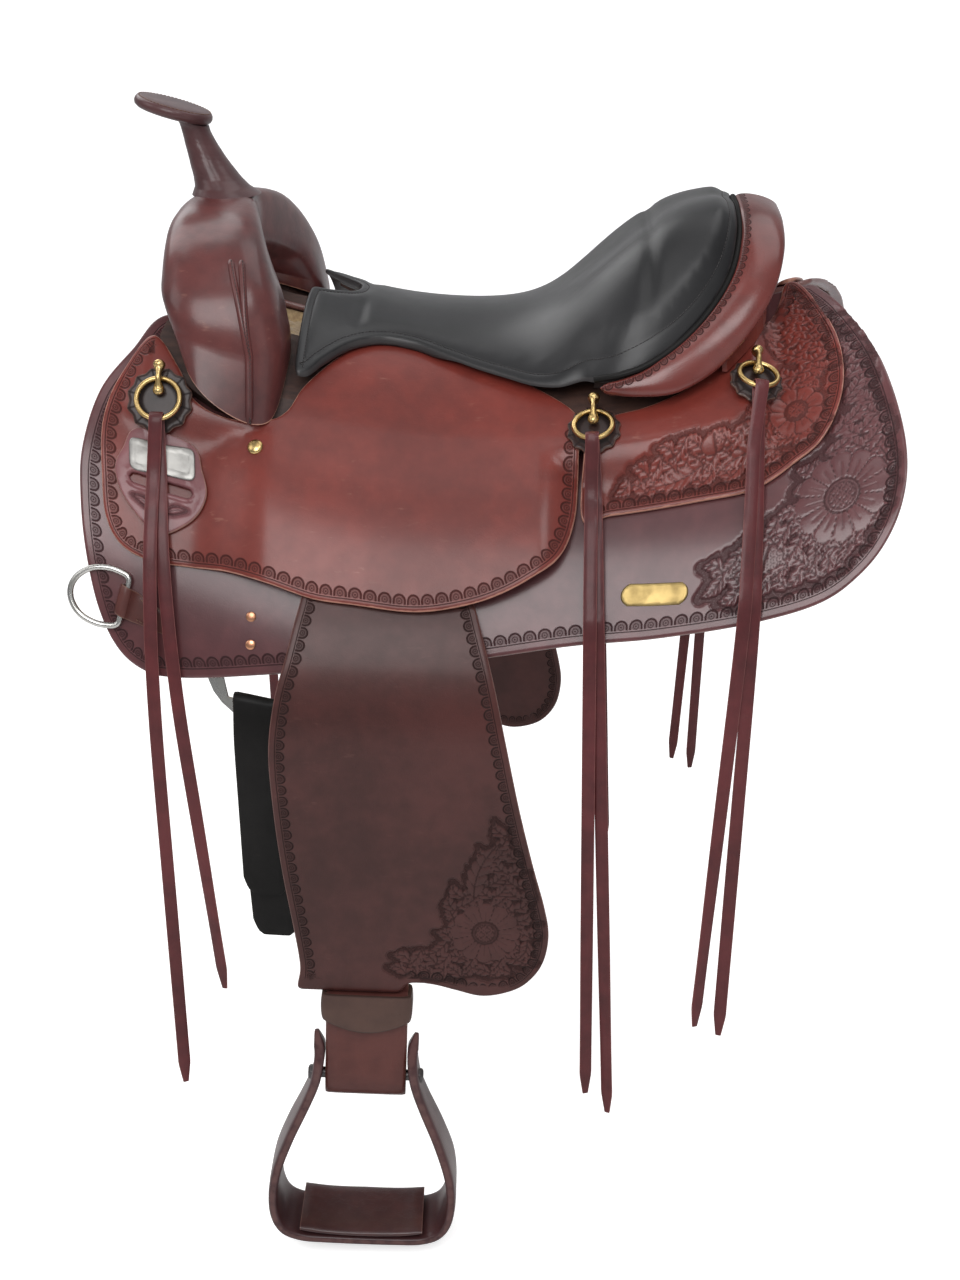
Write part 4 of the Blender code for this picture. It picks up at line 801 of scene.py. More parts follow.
def net(points, loops):
    """Triangles between points, within the first loop and outside the others."""
    count = len(loops[0])
    edges = []
    first = count
    for loop in loops[1:]:
        edges += [(first + k, first + (k + 1) % len(loop)) for k in range(len(loop))]
        first += len(loop)
    made = delaunay_2d_cdt([Vector((p[0], p[1])) for p in points], edges, [list(range(count))], 1, 1e-7, True)
    faces = np.array([[made[3][i][0] for i in f] for f in made[2] if len(f) == 3])
    middle = points[faces].mean(1)
    keep = inside(loops[0], middle)
    for loop in loops[1:]:
        keep &= ~inside(loop, middle)
    return faces[keep]


def clear_of(row, loop, holes, gap, hole_gap, filled=True):
    """Points of a row clear of the outline and the holes; filled rows also lie within."""
    row = np.array(row)
    if filled:
        row = row[inside(loop, row)]
    row = row[measure(loop, row)[0] > gap]
    for hole in holes:
        if filled:
            row = row[~inside(hole, row)]
        row = row[measure(hole, row)[0] > hole_gap]
    return row


def sheet(loop, cell, under_cell, patches=(), holes=(), rims=(0.0005, 0.0014, 0.0032, 0.006, 0.009),
          near=0.0022, pitch_mm=12.0):
    """Sheet from an outline, its places still flat, each with its share of the thickness.

    The upper face carries points drawn in along the rim, a grid, and finer grids in the patches."""
    loop = counter(evenly(loop, near))
    holes = [counter(evenly(h, near)) for h in holes]
    shapes = [loop] + holes
    cut = Build()
    rings = np.array([(p.x, p.y) for s in shapes for p in s])
    low = rings[:len(loop)].min(0)
    high = rings[:len(loop)].max(0)
    rows = [clear_of(drawn_in(loop, amount)[::2 if k > 2 else 1], loop, holes, amount * 0.93, 0.0012, False)
            for k, amount in enumerate(rims)]
    rows += [clear_of(drawn_in(h, -amount), h, (), amount * 0.93, 0.0, False) for h in holes
             for amount in rims[:2]]
    wide = grid(low[0], high[0], low[1], high[1], cell)
    for x0, x1, y0, y1, _ in patches:
        wide = wide[(wide[:, 0] < x0) | (wide[:, 0] > x1) | (wide[:, 1] < y0) | (wide[:, 1] > y1)]
    body = np.concatenate([wide] + [grid(*patch) for patch in patches])
    top = np.concatenate([rings] + rows + [clear_of(body, loop, holes, rims[-1] + 0.0016, 0.0022)])
    under = np.concatenate([rings, clear_of(drawn_in(loop, 0.0012), loop, holes, 0.0011, 0.0012, False),
                            clear_of(grid(low[0], high[0], low[1], high[1], under_cell), loop, holes, 0.005,
                                     0.003)])
    cut.top = len(top)
    cut.flat = np.concatenate([top, under])
    cut.faces = [tuple(f) for f in net(top, shapes).tolist()]
    cut.faces += [tuple(f) for f in (net(under, shapes)[:, ::-1] + cut.top).tolist()]
    first = 0
    for s in shapes:
        for k in range(len(s)):
            a = first + k
            b = first + (k + 1) % len(s)
            cut.faces.append((b, a, a + cut.top, b + cut.top))
        first += len(s)
    far, along, total = measure(loop, cut.flat)
    rim = np.min([far] + [measure(h, cut.flat)[0] for h in holes], 0)
    cut.share = np.interp(rim, (0.0, 0.0005, 0.0014), (0.66, 0.90, 1.0))
    cut.share[cut.top:] = np.interp(rim, (0.0, 0.0012), (0.34, 0.0))[cut.top:]
    stamps = max(1, round(total / (pitch_mm * MM)))
    cut.marks = {"edge": far, "along": along * (stamps * pitch_mm * MM / total)}
    return cut


def lay_out(cut, place, forms=(), spread=0.0, thick=1.0, border=None):
    """Place a sheet's points on the saddle, carved by its forms and with its border where the rule says."""
    relief, cuts = carved(cut.flat, forms, spread) if forms else np.zeros((2, len(cut.flat)))
    relief[cut.top:] = 0.0
    cuts[cut.top:] = 0.0
    share = cut.share + (relief * RAISED - cuts * CUT_DEEP) / thick
    cut.points = [place(a, b, t) for (a, b), t in zip(cut.flat.tolist(), share.tolist())]
    cut.marks.update(relief=relief, cut=cuts)
    if border:
        cut.marks["border"] = [float(border(a, b)) for a, b in cut.flat.tolist()]
    return cut


# Carved forms: each gives its signed distance, its height and its cuts
def groove(d, wide):
    """Soft cut where the distance is nothing."""
    return np.exp(-(d / wide) ** 2)


def hatched(u, v, pitch):
    """Fine cuts crossing each other."""
    return np.maximum(groove((u + v) / pitch % 1.0 - 0.5, 0.16), groove((u - v) / pitch % 1.0 - 0.5, 0.16))


def bloom(at, radius, petals, turn=0.0, heart=0.36):
    """Open flower with round petals and a hatched heart."""
    def form(p):
        d = p - np.array(at)
        rad = np.hypot(d[:, 0], d[:, 1])
        wave = np.abs(np.cos(petals * (np.arctan2(d[:, 1], d[:, 0]) + turn) / 2.0))
        rim = radius * (0.84 + 0.16 * np.sqrt(wave))
        core = radius * heart
        outer = rad > core
        span = np.clip((rad - core) / (rim - core), 0.0, 1.0)
        cuts = groove(wave * radius, 0.0042) * outer
        cuts += 0.5 * groove((1.0 - wave) * radius, 0.0008) * (span < 0.6) * outer
        cuts += groove(rad - core, 0.0010) + groove(rad - core * 0.80, 0.0008) * 0.7
        cuts += 0.8 * hatched(d[:, 0], d[:, 1], 0.0032) * (rad < core * 0.78)
        return rad - rim, np.where(outer, 0.45 * np.sin(span * math.pi) - 0.30, 0.25), np.clip(cuts, 0.0, 1.0)
    return form


def leaf(base, tip, bend, wide, lobes=4):
    """Leaf along a bowed spine, with scooped lobes, a middle vein and a cut between the lobes."""
    base = np.array(base)
    run = np.array(tip) - base
    length = math.hypot(*run)
    way = run / length

    def form(p):
        d = p - base
        t = d @ way / length
        tt = np.clip(t, 0.0, 1.0)
        s = np.abs(d @ np.array((-way[1], way[0])) - bend * 4.0 * tt * (1.0 - tt))
        part = np.abs(np.sin(math.pi * lobes * (t - s / length * 0.9))) if lobes else np.ones(len(p))
        half = wide * np.sin(math.pi * tt ** 0.72) ** 0.8 * (0.66 + 0.34 * part ** 0.6)
        dist = np.hypot(np.maximum(s - half, 0.0), np.maximum(np.maximum(-t, t - 1.0), 0.0) * length)
        dist = np.where(dist <= 0.0, s - half, dist)
        outward = np.clip(s / np.maximum(half, 1e-4), 0.0, 1.0)
        if not lobes:
            return dist, 0.30 * (1.0 - outward ** 2) - 0.1, groove(s, 0.0007)
        high = 0.62 * part * (0.35 + 0.65 * outward) * (1.0 - outward ** 6) - 0.30
        between = groove(part * length / lobes / math.pi, 0.0007)
        return dist, high, np.maximum(groove(s, 0.0007), 0.8 * between)
    return form


def seed_head(at, wide, long, turn):
    """Seed head: a hatched cup under a smooth nut."""
    c = math.cos(turn)
    s = math.sin(turn)

    def form(p):
        d = p - np.array(at)
        u = d[:, 0] * c + d[:, 1] * s
        v = d[:, 1] * c - d[:, 0] * s
        rad = np.hypot(u / wide, v / long)
        cuts = 0.8 * hatched(u, v, 0.0030) * (v < -0.1 * long) + groove(v + 0.1 * long, 0.0009)
        return (rad - 1.0) * min(wide, long), 0.35 * (1.0 - np.clip(rad, 0, 1) ** 2), np.clip(cuts, 0, 1)
    return form


def foliage(region, stream, step, long, wide, lobes=5):
    """Leaves close together over a region, each laid along the stream and leaning to one side in turn."""
    low = np.min(region, 0)
    high = np.max(region, 0)
    sites = grid(low[0], high[0], low[1], high[1], step)
    region = [Vector(p) for p in region]
    runs = [(Vector(a), Vector(b)) for a, b in zip(stream, stream[1:])]
    leaves = []
    for i, spot in enumerate(sites[inside(region, sites)].tolist()):
        spot = Vector(spot)
        a, b = min(runs, key=lambda r: ((r[0] + r[1]) / 2.0 - spot).length)
        lean = 0.62 if i % 2 else -0.62
        way = (b - a).normalized()
        way.rotate(Matrix.Rotation(lean, 2))
        ends = np.array([tuple(spot - way * long * 0.5), tuple(spot + way * long * 0.5)])
        whole = inside(region, ends)
        base, tip = [spot + way * (long * sign * (0.5 if ok else 0.22))
                     for sign, ok in zip((-1.0, 1.0), whole)]
        leaves.append(leaf(tuple(base), tuple(tip), long * math.copysign(0.16, lean), wide,
                           lobes if all(whole) else lobes - 2))
    return leaves


def carved(p, forms, spread):
    """Height and cuts over the leather; the ground around the forms is beaten down."""
    relief = np.zeros(len(p))
    cuts = np.zeros(len(p))
    nearest = np.ones(len(p))
    for form in forms:
        dist, high, lines = form(p)
        own = (dist < 0.0) & (nearest >= 0.0)
        relief[own] = high[own]
        cuts[own] = lines[own]
        cuts = np.where(nearest >= 0.0, np.maximum(cuts, groove(dist, 0.0008)), cuts)
        nearest = np.minimum(nearest, dist)
    ground = ease_all((spread - nearest) / 0.0018) * ease_all((nearest + 0.0002) / 0.0009)
    relief = np.where(nearest >= -0.0002, -ground, relief)
    return relief, np.clip(np.maximum(cuts, 0.6 * groove(nearest - spread, 0.0008)), 0.0, 1.0)


def panel(name, outline, under_cell, under, thick, finish, border, patches=(), forms=(), spread=0.0):
    """Leather sheet laid over the back on both sides."""
    cut = sheet(outline, 0.0065, under_cell, patches)
    lay_out(cut, lambda a, b, t: back(a, b, under(a, b) + thick * t), forms, spread, thick, border)
    both_sides(name + "_panel", cut, finish, "saddle", name)


# Skirts
SKIRT_OUTLINE = spline([
    (-0.264, 0.030), (-0.285, 0.075), (-0.306, 0.122), (-0.316, 0.175),
    (-0.315, 0.215), (-0.309, 0.258), (-0.298, 0.299),
    (-0.282, 0.325), (-0.260, 0.335), (-0.232, 0.332),
    (-0.140, 0.308), (-0.030, 0.287), (0.080, 0.270), (0.160, 0.271),
    (0.240, 0.275), (0.288, 0.274), (0.316, 0.263),
    (0.336, 0.245), (0.349, 0.219), (0.354, 0.185), (0.350, 0.140),
    (0.338, 0.080), (0.321, 0.026), (0.302, -0.022), (0.288, -0.042),
    (0.245, -0.040), (0.210, -0.026), (0.150, 0.004), (0.020, 0.012), (-0.120, 0.012), (-0.215, 0.012),
], 12)
SKIRT_REGION = ((0.188, 0.234), (0.198, 0.216), (0.216, 0.213), (0.232, 0.208), (0.262, 0.190),
                (0.270, 0.160), (0.290, 0.158), (0.293, 0.137), (0.305, 0.125), (0.310, 0.099),
                (0.309, 0.051), (0.302, 0.012), (0.314, 0.018), (0.328, 0.067), (0.337, 0.113),
                (0.342, 0.150), (0.343, 0.191), (0.334, 0.222), (0.318, 0.242), (0.291, 0.256),
                (0.255, 0.258), (0.222, 0.254), (0.190, 0.247))
SKIRT_STREAM = ((0.300, 0.215), (0.270, 0.236), (0.240, 0.240), (0.200, 0.234), (0.185, 0.236))
SKIRT_STREAM_UP = ((0.300, 0.195), (0.322, 0.150), (0.325, 0.110), (0.320, 0.060), (0.308, 0.015))
SKIRT_FORMS = [
    bloom((0.3037, 0.1955), 0.0370, 12),
    seed_head((0.243, 0.226), 0.0110, 0.0165, 1.9),
    leaf((0.262, 0.238), (0.214, 0.236), 0.008, 0.0100, 6),
]
SKIRT_FORMS += foliage([p for p in SKIRT_REGION if p[1] > 0.180], SKIRT_STREAM, 0.0125,
                       0.026, 0.0072)
SKIRT_FORMS += foliage([p for p in SKIRT_REGION if p[1] < 0.200], SKIRT_STREAM_UP, 0.0125, 0.028, 0.0076)

panel("skirt", SKIRT_OUTLINE, 0.020, lambda a, b: FLEECE + LAY, SKIRT, SKIRT_LEATHER,
      lambda a, b: b > 0.035 or a > 0.27, ((0.176, 0.347, 0.004, 0.262, 0.0012),), SKIRT_FORMS, 0.0065)


def rig_recess(x, fall):
    return window(x, -0.232, -0.100, 0.035) * ease((fall - 0.200) / 0.035)


def fleece_pieces():
    """Woolskin lining, its locks standing towards the horse."""
    loop = drawn_in(counter(evenly(SKIRT_OUTLINE, 0.004)), 0.006)
    cut = sheet([Vector((p[0], max(p[1], -0.034))) for p in loop], 0.016, 0.0042, rims=(0.001, 0.003),
                near=0.004)
    x, y = cut.flat.T
    lock = np.sin(x * 690.0 + 3.0 * np.sin(y * 210.0)) * np.sin(y * 760.0 + 3.0 * np.sin(x * 190.0))
    lock = 0.0011 * (lock + 0.6 * np.sin(x * 1470.0 + y * 930.0)) + 0.0006
    lock[:cut.top] = 0.0
    cut.points = [back(a, b, (FLEECE - 0.0040 * rig_recess(a, b)) * share + curl)
                  for (a, b), share, curl in zip(cut.flat.tolist(), cut.share.tolist(), lock.tolist())]
    both_sides("woolskin_panel", cut, WOOLSKIN, "saddle", "fleece")


fleece_pieces()

# Jockeys
JOCKEY_PTS = [
    (-0.264, 0.068), (-0.288, 0.100), (-0.300, 0.147), (-0.297, 0.195), (-0.292, 0.224), (-0.279, 0.241),
    (-0.255, 0.246), (-0.221, 0.242), (-0.190, 0.239), (-0.155, 0.242), (-0.117, 0.248), (-0.084, 0.248),
    (-0.039, 0.248), (-0.007, 0.243), (0.025, 0.234), (0.055, 0.220), (0.080, 0.202), (0.092, 0.170),
    (0.094, 0.120), (0.094, 0.094), (0.084, 0.078), (0.053, 0.056), (0.029, 0.044), (0.003, 0.034),
    (-0.024, 0.024), (-0.050, 0.018), (-0.076, 0.018), (-0.099, 0.030), (-0.119, 0.052), (-0.138, 0.080),
    (-0.149, 0.104), (-0.166, 0.116), (-0.200, 0.120), (-0.226, 0.112), (-0.240, 0.090),
]
REAR_PTS = [(0.098, 0.171), (0.122, 0.169), (0.184, 0.169), (0.228, 0.171), (0.248, 0.167), (0.267, 0.158),
            (0.288, 0.146), (0.302, 0.123), (0.309, 0.092), (0.307, 0.051), (0.296, 0.005), (0.281, -0.041),
            (0.270, -0.044), (0.264, -0.020), (0.255, 0.004), (0.238, 0.030), (0.214, 0.056), (0.184, 0.075),
            (0.150, 0.086), (0.122, 0.090), (0.102, 0.096), (0.098, 0.120)]
REAR_REGION = ((0.124, 0.150), (0.143, 0.130), (0.166, 0.120), (0.189, 0.117), (0.217, 0.120), (0.238, 0.102),
               (0.262, 0.076), (0.256, 0.044), (0.252, 0.020), (0.263, -0.015), (0.277, -0.026),
               (0.290, 0.004), (0.299, 0.059), (0.300, 0.090), (0.293, 0.120), (0.280, 0.138), (0.256, 0.150),
               (0.224, 0.160), (0.185, 0.158), (0.153, 0.158), (0.128, 0.158))
REAR_STREAM = ((0.262, 0.120), (0.240, 0.138), (0.200, 0.142), (0.160, 0.146), (0.124, 0.152))
REAR_STREAM_UP = ((0.268, 0.110), (0.282, 0.080), (0.280, 0.040), (0.272, 0.000), (0.268, -0.026))
REAR_FORMS = [
    bloom((0.270, 0.112), 0.0225, 8, 0.3, 0.40),
    seed_head((0.203, 0.128), 0.0078, 0.0105, 1.4),
    leaf((0.254, 0.142), (0.206, 0.150), 0.006, 0.0090, 6),
    leaf((0.196, 0.140), (0.150, 0.150), -0.004, 0.0080, 6),
]
REAR_FORMS += foliage([p for p in REAR_REGION if p[1] > 0.095], REAR_STREAM, 0.0115, 0.024, 0.0066)
REAR_FORMS += foliage([p for p in REAR_REGION if p[1] < 0.110], REAR_STREAM_UP, 0.0115, 0.026, 0.0068)

panel("seat_jockey", spline(JOCKEY_PTS, 10), 0.018, jockey_under, JOCKEY, JOCKEY_LEATHER,
      lambda a, b: b > 0.190 or (a > 0.02 and b > 0.10) or a < -0.262)
panel("rear_jockey", spline(REAR_PTS, 10), 0.018, jockey_under, JOCKEY, JOCKEY_LEATHER,
      lambda a, b: b > 0.128 or a > 0.268, ((0.114, 0.304, -0.034, 0.164, 0.0012),), REAR_FORMS, 0.0050)

# Seat
SEAT_HALF = (
    (-0.107, 0.0), (-0.111, 0.018), (-0.129, 0.031), (-0.142, 0.038), (-0.1455, 0.052), (-0.1465, 0.110),
    (-0.1455, 0.1405), (-0.133, 0.141), (-0.119, 0.124), (-0.099, 0.103), (-0.076, 0.0905), (-0.050, 0.091),
    (-0.024, 0.101), (0.003, 0.112), (0.029, 0.122), (0.053, 0.132), (0.076, 0.138), (0.095, 0.1385),
)
ROLL_LINES = (
    ((0.222, 0.000, 0.190), (0.262, 0.000, 0.181)),
    ((0.224, 0.035, 0.183), (0.264, 0.040, 0.173)),
    ((0.224, 0.066, 0.166), (0.263, 0.075, 0.155)),
    ((0.217, 0.095, 0.141), (0.254, 0.105, 0.128)),
    ((0.200, 0.118, 0.116), (0.235, 0.128, 0.099)),
    ((0.176, 0.136, 0.093), (0.207, 0.146, 0.070)),
    ((0.150, 0.146, 0.076), (0.174, 0.156, 0.052)),
    ((0.126, 0.148, 0.067), (0.142, 0.158, 0.046)),
    ((0.106, 0.143, 0.062), (0.116, 0.154, 0.045)),
)


def seat_top(x, y):
    line = SEAT_LOW + (x * x * (0.85 - 2.3 * x) if x < 0.0 else x * x * (1.55 + 1.8 * x))
    bow = 4.1 + 1.9 * max(0.0, (x - 0.130) / 0.065) ** 2
    return line - bow * abs(y) ** 2.2


def seat_loop():
    half = [Vector(p) for p in SEAT_HALF] + [Vector((p[0][0], p[0][1])) for p in ROLL_LINES[::-1]][:-1]
    crest = Vector((ROLL_LINES[0][0][0], 0.0))
    loop = half + [crest] + [Vector((p.x, -p.y)) for p in half[:0:-1]]
    loop = counter(evenly(spline(loop, 10), 0.003))
    return [Vector(p) for p in drawn_in(loop, 0.0025)]


SEAT_SEAM = 0.0068
SHOULDER = 0.054
SHOULDER_IN = 0.050
SHOULDER_TOP = 0.1930
SHOULDER_SOFT = 0.0080


def shoulder(x, y, away):
    """Rolled shoulder of the padding inside the cantle's rim."""
    climb = ease((x - 0.048) / 0.085)
    ridge = math.sin(clamp01(away / SHOULDER_IN) * math.pi / 2.0)
    ridge *= 1.0 - 0.50 * ease((away - SHOULDER_IN) / 0.060)
    rise = SHOULDER * climb * ridge * (0.6 + 0.4 * ease(abs(y) / 0.060))
    room = SHOULDER_TOP - 1.2 * y * y - seat_top(x, y)
    share = clamp01(0.5 + 0.5 * (room - rise) / SHOULDER_SOFT)
    return room + (rise - room) * share - SHOULDER_SOFT * share * (1.0 - share)


def seat_channel(away, x):
    """Depth of the two soft channels sewn across the seat."""
    depth = 0.0026 * (math.exp(-((x + 0.098) / 0.0055) ** 2) + math.exp(-((x - 0.150) / 0.0055) ** 2))
    return depth * ease((away - 0.004) / 0.026)


def seat_lift(away, x):
    """Height of the seat's leather over its underside at a distance from its edge."""
    crown = SEAT_CROWN * ease(away / 0.045)
    puff = 0.0011 * ease((away - SEAT_SEAM) / 0.010) - 0.0007 * math.exp(-((away - SEAT_SEAM) / 0.0011) ** 2)
    roll = 0.0018 * (1.0 - math.sqrt(max(0.0, 1.0 - (1.0 - clamp01(away / 0.0045)) ** 2)))
    return SEAT_EDGE + crown - seat_channel(away, x) + puff - roll


def seat_surface(x, y, away):
    rise = shoulder(x, y, away)
    low = seat_top(x, y) - SEAT_EDGE - SEAT_CROWN * ease(away / 0.045) + 0.5 * rise
    flap = 0.0045 * window(x, -0.120, -0.035, 0.030) * (1.0 - ease(away / 0.010))
    return low - flap, low + seat_lift(away, x) + 0.5 * rise


def settle(cut):
    """The padding evens itself out under its leather, apart from its sewn rim and channels."""
    count = cut.top
    away = cut.marks["edge"][:count]
    sewn = np.array([seat_channel(far, p.x) for far, p in zip(away.tolist(), cut.points)])
    high = np.array([p.z for p in cut.points[:count]]) + sewn
    a, b = np.array([(f[k - 1], f[k]) for f in cut.faces if len(f) == 3 and max(f) < count
                     for k in range(3)]).T
    near = np.maximum(np.bincount(a, minlength=count) + np.bincount(b, minlength=count), 1)
    free = 0.7 * ease_all((away - 0.014) / 0.020)
    for _ in range(70):
        total = np.bincount(a, high[b], count) + np.bincount(b, high[a], count)
        high += free * (total / near - high)
    for p, z in zip(cut.points, (high - sewn).tolist()):
        p.z = z


def seat_piece():
    loop = seat_loop()
    cut = sheet(loop, 0.0042, 0.012, rims=(0.0005, 0.0014, 0.0028, 0.0045, 0.0058, 0.0068, 0.0078, 0.0095))
    for (x, y), away, share in zip(cut.flat.tolist(), cut.marks["edge"].tolist(), cut.share.tolist()):
        low, high = seat_surface(x, y, away)
        cut.points.append(Vector((x, y, low + (high - low) * share)))
    settle(cut)
    make_piece("seat_cushion", cut, SEAT_LEATHER, "saddle", ("seat_pad",), 50.0)
    return loop


def stitch_row(made, line, ups, gap=0.0034, long=0.0024, thick=0.00042):
    """Row of stitches along a line on a surface, each sunk a little at its ends."""
    lengths = [0.0]
    for a, b in zip(line, line[1:]):
        lengths.append(lengths[-1] + (b - a).length)
    i = 0
    for k in range(int(lengths[-1] / gap)):
        where = (k + 0.5) * gap
        while i < len(line) - 2 and lengths[i + 1] < where:
            i += 1
        share = (where - lengths[i]) / max(lengths[i + 1] - lengths[i], 1e-9)
        mid = line[i].lerp(line[i + 1], share)
        up = ups[i].lerp(ups[min(i + 1, len(ups) - 1)], share).normalized()
        run = (line[i + 1] - line[i]).normalized()
        path = [mid + run * (long * s) + up * (thick * h) for s, h in
                ((-0.5, -1.2), (-0.40, 0.25), (-0.2, 0.75), (0.2, 0.75), (0.40, 0.25), (0.5, -1.2))]
        made.wire(path, [thick * 0.75, thick, thick, thick, thick, thick * 0.75], 6)
    return made


def seat_stitches(loop):
    line = [Vector(p) for p in drawn_in(loop, SEAT_SEAM)]
    line.append(line[0])
    away = measure(loop, np.array([(p.x, p.y) for p in line]))[0]
    spots = [Vector((p.x, p.y, seat_surface(p.x, p.y, d)[1])) for p, d in zip(line, away.tolist())]
    step = 0.004
    ups = [Vector((seat_top(p.x - step, p.y) - seat_top(p.x + step, p.y),
                   seat_top(p.x, p.y - step) - seat_top(p.x, p.y + step), 2.0 * step)).normalized()
           for p in line]
    make_piece("seat_stitching", stitch_row(Build(), spots, ups), SEAT_THREAD, "saddle")


seat_stitches(seat_piece())


def rim_welt_piece():
    """Black piping that fills the seam between the seat and the cantle roll."""
    line = spline([Vector(p[0]) for p in ROLL_LINES], 10, False)
    path = [Vector((p.x - 0.0006, -p.y, p.z - 0.0022)) for p in line[::-1]]
    path += flipped(path[-2::-1])
    make_piece("seat_rim_welt", Build().wire(evenly(path, 0.003, False), 0.0028).edged(), BLACK_STRAP,
               "saddle")


rim_welt_piece()


# Cantle roll
def cantle_roll_piece():
    ins = evenly(spline([Vector(p[0]) for p in ROLL_LINES], 8, False), 0.0030, False)
    outs = spline([Vector(p[1]) for p in ROLL_LINES], 8, False)
    count = len(ins) - 1
    outs = evenly(outs, run_length(outs) / count, False)
    rows = []
    for k, (a, b) in enumerate(zip(ins, outs)):
        u = k / count
        after = min(k + 1, count)
        run = (ins[after] + outs[after] - ins[max(k - 1, 0)] - outs[max(k - 1, 0)]).normalized()
        if k == 0:
            run = Vector((0.0, 1.0, 0.0))
        span = b - a
        span -= run * span.dot(run)
        up = run.cross(span).normalized()
        if up.z < 0.0:
            up = -up
        shrink = 1.0 if u < 0.8 else 1.0 - 0.45 * (u - 0.8) / 0.2
        if u > 0.97:
            shrink *= math.sqrt(max(0.05, 1.0 - ((u - 0.97) / 0.031) ** 2))
        half = (span.length / 2.0 - 0.0017) * shrink
        row = []
        for s, h in superellipse(half, 0.0055 * (0.75 + 0.25 * shrink), 40, 2.4):
            puffed = h * (1.0 + 0.16 * math.cos(s / half * math.pi / 2.0)) if h > 0.0 else h
            p = (a + b) / 2.0 - up * 0.002 + span.normalized() * s + up * puffed
            row.append((Vector((p.x, -p.y if k else 0.0, p.z)), s + half if h > 0.0 else 0.5))
        rows.append(row)
    made = skin(rows[::-1] + [[(Vector((p.x, -p.y, p.z)), far) for p, far in row] for row in rows[1:]])
    made.marks["along"] = [abs(k) * 0.0030 for k in range(-count, count + 1) for _ in range(40)]
    made.marks["border"] = [1.0] * len(made.points)
    make_piece("cantle_binding", made, ROLL_LEATHER, "saddle", ("cantle_roll",), 70.0)


cantle_roll_piece()


# Fork cover and horn
def at(table, x):
    """Value in a table of (place, value) pairs, straight between them."""
    for (x0, v0), (x1, v1) in zip(table, table[1:]):
        if x <= x1:
            return v0 + (v1 - v0) * (x - x0) / (x1 - x0)
    return table[-1][1]


def soft(table, u, odd=False):
    """Value in a table, its corners eased."""
    total = 0.0
    for k in range(-4, 5):
        v = u + 0.014 * k
        value = at(table, abs(v))
        total += -value if odd and v < 0.0 else value
    return total / 9.0


FORK_OUT_Y = ((0.0, 0.0), (0.15, 0.038), (0.30, 0.080), (0.45, 0.119), (0.60, 0.146), (0.72, 0.1575),
              (0.84, 0.1580), (0.93, 0.1540), (1.0, 0.1470))
FORK_OUT_Z = ((0.0, 0.0), (0.15, -0.001), (0.30, -0.009), (0.45, -0.028), (0.60, -0.057), (0.72, -0.084),
              (0.84, -0.108), (0.93, -0.122), (1.0, -0.1335))
FORK_IN_Y = ((0.0, 0.0), (0.15, 0.022), (0.30, 0.043), (0.45, 0.060), (0.60, 0.072), (0.72, 0.079),
             (0.84, 0.084), (0.93, 0.088), (1.0, 0.092))
FORK_IN_Z = ((0.0, -0.040), (0.15, -0.042), (0.30, -0.050), (0.45, -0.060), (0.60, -0.070), (0.72, -0.075),
             (0.84, -0.079), (0.93, -0.082), (1.0, -0.085))
FORK_FRONT = ((0.0, -0.040), (0.30, -0.048), (0.60, -0.046), (0.80, -0.036), (1.0, -0.022))
FORK_BACK = ((0.0, 0.004), (0.30, 0.022), (0.60, 0.042), (0.80, 0.049), (1.0, 0.046))
LOBE_START = 7.0 / 9.0
LOBE_END = LOBE_START + 0.55 / 9.0


def fork_point(u, angle, grow):
    """Place on the fork at u, 0 at its crown and 1 at its foot, angle 0 to the rear and 90 outward."""
    outer = Vector((soft(FORK_OUT_Y, u, True), FORK_TOP + soft(FORK_OUT_Z, u)))
    inner = Vector((soft(FORK_IN_Y, u, True), FORK_TOP + soft(FORK_IN_Z, u)))
    span = outer - inner
    along = span.normalized()
    middle = (outer + inner) / 2.0
    front = FORK_X + soft(FORK_FRONT, u)
    rear = FORK_X + soft(FORK_BACK, u)
    c = math.cos(angle)
    s = math.sin(angle)
    square = 5.0 - 1.8 * ease((u - 0.15) / 0.40)
    reach = (abs(c) ** square + abs(s) ** square) ** (-1.0 / square)
    a = ((rear - front) / 2.0 + grow) * c * reach
    b = (span.length / 2.0 + grow) * s * reach
    p = Vector(((front + rear) / 2.0 + a, -middle.x - along.x * b, middle.y + along.y * b))
    p.z += (rock(p.x) - rock(FORK_X)) * ease((u - 0.50) / 0.34)
    return p


def cover_point(v, angle, grow):
    """Place on the fork's cover, v from 0 at the crown to 1 at the lobe's lower edge."""
    if v <= 0.86:
        return fork_point(v / 0.86 * LOBE_START, angle, grow)
    w = (v - 0.86) / 0.14
    p = fork_point(LOBE_START + (LOBE_END - LOBE_START) * w, angle, grow)
    share = ease((-p.y - 0.118) / 0.036) * w
    q = (p.x - FORK_X - 0.022) / 0.045
    p.x = FORK_X + 0.022 + (p.x - FORK_X - 0.022) * (1.0 - 0.16 * share)
    p.y -= 0.0150 * share
    p.z -= 0.038 * share * (1.04 + 0.14 * q - 0.24 * q * q) + 0.009 * (w - share)
    return p


